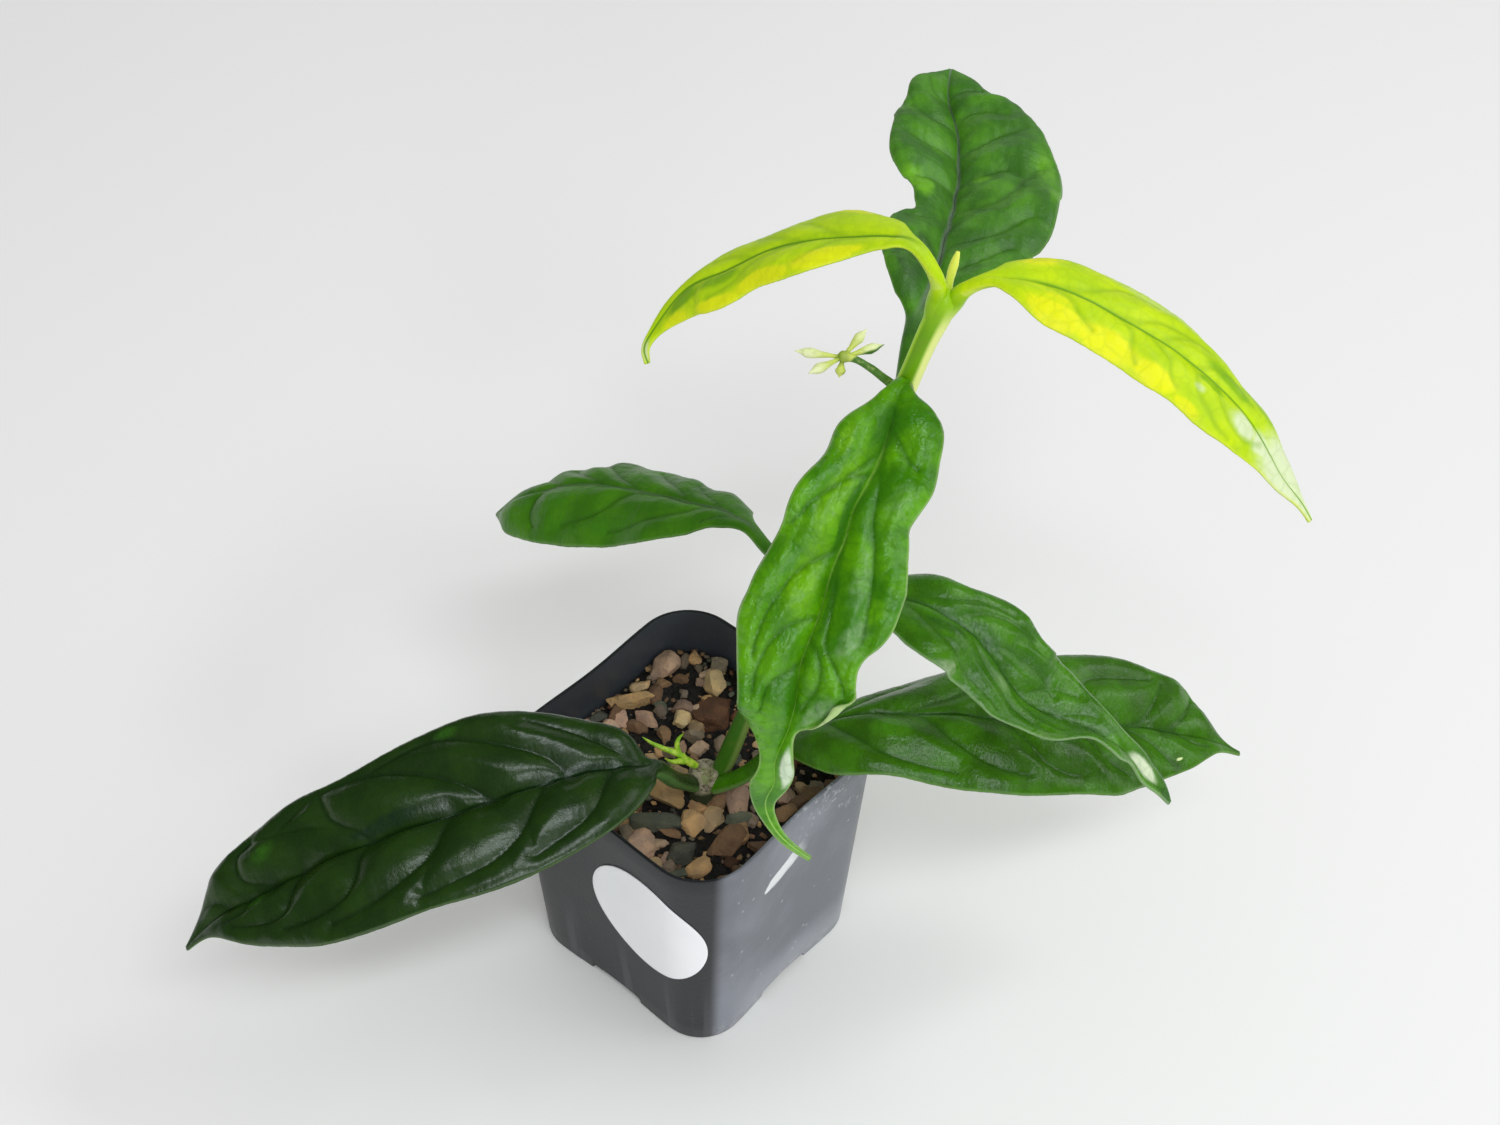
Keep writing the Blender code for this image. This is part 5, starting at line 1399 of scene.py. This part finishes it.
young_right = leaf_blade(
    "young_right_blade", quilt=1.4, waves=((5, 0.5, 0.1), (5, 0.5, 0.6)), petiole=YOUNG_PETIOLE, seed=8,
    rows=[
        (50, 4.9, 188, 1.5, 1.5, 0, 0), (51, 3.6, 190.6, 1.5, 1.6, 0, 0), (53.5, 3, 193, 2.5, 2, 0, 0),
        (57, 2.5, 194.5, 4.5, 3, -2, -4), (62.5, 2, 194.5, 7.5, 7, -4, -9),
        (69.5, 0.5, 193.5, 10.5, 9.5, -7, -13), (76, -1.5, 191.5, 12, 10, -8, -16),
        (82.5, -4, 189, 11.5, 9.5, -8, -17), (89, -6, 186, 12, 10.5, -8, -18),
        (95, -8.5, 182.5, 9, 9.5, -8, -17), (100.5, -11, 178.5, 7.5, 9.5, -8, -16),
        (105.5, -13, 173.5, 7, 8, -7, -14), (109.5, -15.5, 168, 5.5, 4.5, -6, -11),
        (113, -17.5, 163, 4.5, 3, -5, -6), (116, -19.5, 160, 1.5, 1.5, -3, -3),
        (118.5, -21, 156.5, 0.6, 0.6, 0, 0),
    ],
    veins=[
        (20, 0, 24, 13, 27, 22, 29.3, 42, 34.3, 67),
        (26.3, 15, 30.7, 27, 34, 48, 37.3, 65),
        (36, 0, 40.3, 13, 42, 30, 43, 58, 45, 78),
        (44.5, 0, 48.7, 20, 51.7, 35, 53, 58, 55.7, 72),
        (54, 0, 58.3, 20, 60.3, 50, 63.7, 62, 67.3, 80, 71.3, 87),
        (62.7, 0, 65.3, 27, 69, 53, 75, 62, 79, 30),
        (20, 0, 26.7, -6, 31, -20, 34.7, -50, 39.7, -70, 45.3, -72),
        (36, 0, 42.7, -12, 46, -30, 50, -40, 54, -50),
        (48.3, 0, 49.7, -13, 52.7, -37, 55.3, -55, 59, -64),
        (58, 0, 61.3, -35, 64, -50, 69, -60),
    ],
    patches={
        "bright": [(25, 75, 8, 30, 100), (38, 75, 8, 30, 100), (50, 80, 7, 25, 90),
            (60, 90, 5, 15, 70), (25, 40, 5, 25, 60), (20, -70, 5, 30, 70)],
        "pale": [(73, 35, 5, 30, 80), (80, 20, 5, 50, 80), (90, 0, 12, 130, 95), (97, 0, 5, 120, 100),
            (45, -80, 15, 16, 50), (60, 40, 2, 12, 60)],
        "painted_shade": [(66, -40, 10, 30, 70), (62, 15, 5, 12, 70), (30, -40, 8, 30, 40),
            (74, -70, 8, 25, 60)],
    })
finish_leaf(young_right, skin_material(
    "young_right_skin",
    "c4e002 b4d602 80ac0c 72a40e dce648 c8e050 e4e806 d6e2b4 80b408",
    {"Vein Share": 0.4, "Net Share": 0.14, "Dullness": 0.32, "Midrib Width": 0.7}, 0.2, 0.22),
    "leaf_young_right")

# Flower stalk
# A thin stalk in the axil of the front leaf with five club-shaped buds spread like a star.

FLOWER_STALK = [
    (40.4, 3.6, 166.6, 1.15),
    (37.4, 3.6, 169.4, 0.85),
    (34.2, 4.2, 171.8, 0.75),
    (31.4, 4.7, 173.2, 0.75),
    (29.8, 4.9, 173.5, 1.1),
    (28.8, 5.0, 173.4, 1.1),
    (28.2, 5.0, 173.4, 0.5),
]
HUB = (29.2, 5.0, 173.3)
BUD_TIPS = [
    (20.2, 5.0, 174.6),
    (22.8, 0.4, 173.0),
    (33.6, 9.4, 176.6),
    (37.0, 8.6, 173.6),
    (28.6, 2.6, 170.4),
]
# Radius of a bud at shares of the way from the hub to its tip
BUD_OUTLINE = (
    (-0.06, 0.45), (0.2, 0.42), (0.42, 0.6), (0.62, 0.95), (0.76, 1.0), (0.88, 0.62), (0.96, 0.3),
    (1.05, 0.06),
)

stalk = [tube("stalk", FLOWER_STALK, 50, 16, 0.04, 3.0)]
hub = Vector(HUB)
for tip in BUD_TIPS:
    reach = Vector(tip) - hub
    rows = [(*(hub + reach * share), radius) for share, radius in BUD_OUTLINE]
    stalk.append(tube("bud", rows, 40, 14, 0.06, tip[0]))
flowers = join("flower_buds", stalk)
waxy, tree, shader = new_material("waxy_buds", 0.45)
where, split = on_piece(tree)
middle = tuple(TURN @ HUB * MM)
away = vector_node(tree, "DISTANCE", where, middle)
fine = noise_mask(tree, where, 900, 4)
colour = mix_colour(tree, band(tree, away, 0.8 * MM, 2.2 * MM), "7f9a2c", "ccd860")
colour = mix_colour(tree, band(tree, away, 2.5 * MM, 7.0 * MM), colour, "eaf0b8")
# The green undersides of the buds that point to the right
from_hub = vector_node(tree, "SUBTRACT", where, middle)
beside = vector_node(tree, "DOT_PRODUCT", from_hub, tuple(TURN @ (1.0, -0.15, -0.55)))
beneath = vector_node(tree, "DOT_PRODUCT", from_hub, tuple(TURN @ (0.55, -0.75, -0.6)))
below = times(tree, band(tree, beside, 1.4 * MM, 2.2 * MM), band(tree, beneath, 1.0 * MM, 1.6 * MM),
              band(tree, (split, "Z"), 174.2 * MM, 173.6 * MM))
colour = mix_colour(tree, below, colour, "47761c")
colour = mix_colour(tree, band(tree, fine, 0.5, 0.7, 0.0, 0.4), colour, "a8b860")
surface(tree, shader, colour, fine, 0.1, math_node(tree, "MULTIPLY_ADD", fine, 0.2, 0.35))
flowers.data.materials.append(waxy)
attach(flowers, "root")
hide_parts("flower_stalk")

# Side shoots and tip bud
# Small pale shoots that break from the stump beside the scar, and the closed bud at the stem's tip.

SHOOTS = [
    [(0.6, -6.4, 64.2, 0.8), (-0.8, -6.9, 66.0, 0.95), (-1.8, -7.0, 67.6, 0.6), (-2.0, -6.8, 69.0, 0.12)],
    [(-0.6, -6.6, 65.4, 0.6), (-3.4, -6.6, 68.4, 0.75), (-6.4, -6.2, 69.6, 0.6), (-9.4, -5.4, 70.6, 0.4),
     (-11.4, -5.0, 72.0, 0.1)],
    [(-1.0, -7.0, 65.8, 0.6), (-2.8, -8.0, 67.6, 0.75), (-4.6, -8.8, 68.2, 0.5), (-6.2, -9.0, 69.6, 0.1)],
    [(-2.4, -6.6, 67.4, 0.3), (-3.6, -5.6, 69.6, 0.6), (-3.2, -4.8, 71.6, 0.4), (-2.2, -4.4, 72.8, 0.08)],
]
TIP_BUD = [
    (48.4, 6.4, 187.0, 0.9),
    (48.7, 7.3, 190.5, 0.8),
    (49.3, 7.6, 194.0, 0.85),
    (49.8, 7.8, 196.6, 0.4),
]
sprouts = join("sprouts", [tube("sprout", rows, 40, 14, 0.08, 4.0) for rows in SHOOTS])
bud = tube("growing_bud", TIP_BUD, 40, 16, 0.04, 5.0)
tender, tree, shader = new_material("tender_green", 0.4)
where, split = on_piece(tree)
fine = noise_mask(tree, where, 700, 4)
colour = mix_colour(tree, band(tree, fine, 0.35, 0.65), "8cc41e", "c6e44a")
colour = mix_colour(tree, band(tree, (split, "Z"), 180 * MM, 194 * MM), colour, "e8ee5c")
surface(tree, shader, colour, fine, 0.1, math_node(tree, "MULTIPLY_ADD", fine, 0.2, 0.3))
for piece, cad_node in ((sprouts, "side_shoots"), (bud, "tip_bud")):
    piece.data.materials.append(tender)
    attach(piece, "root")
    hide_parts(cad_node)

low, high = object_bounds()
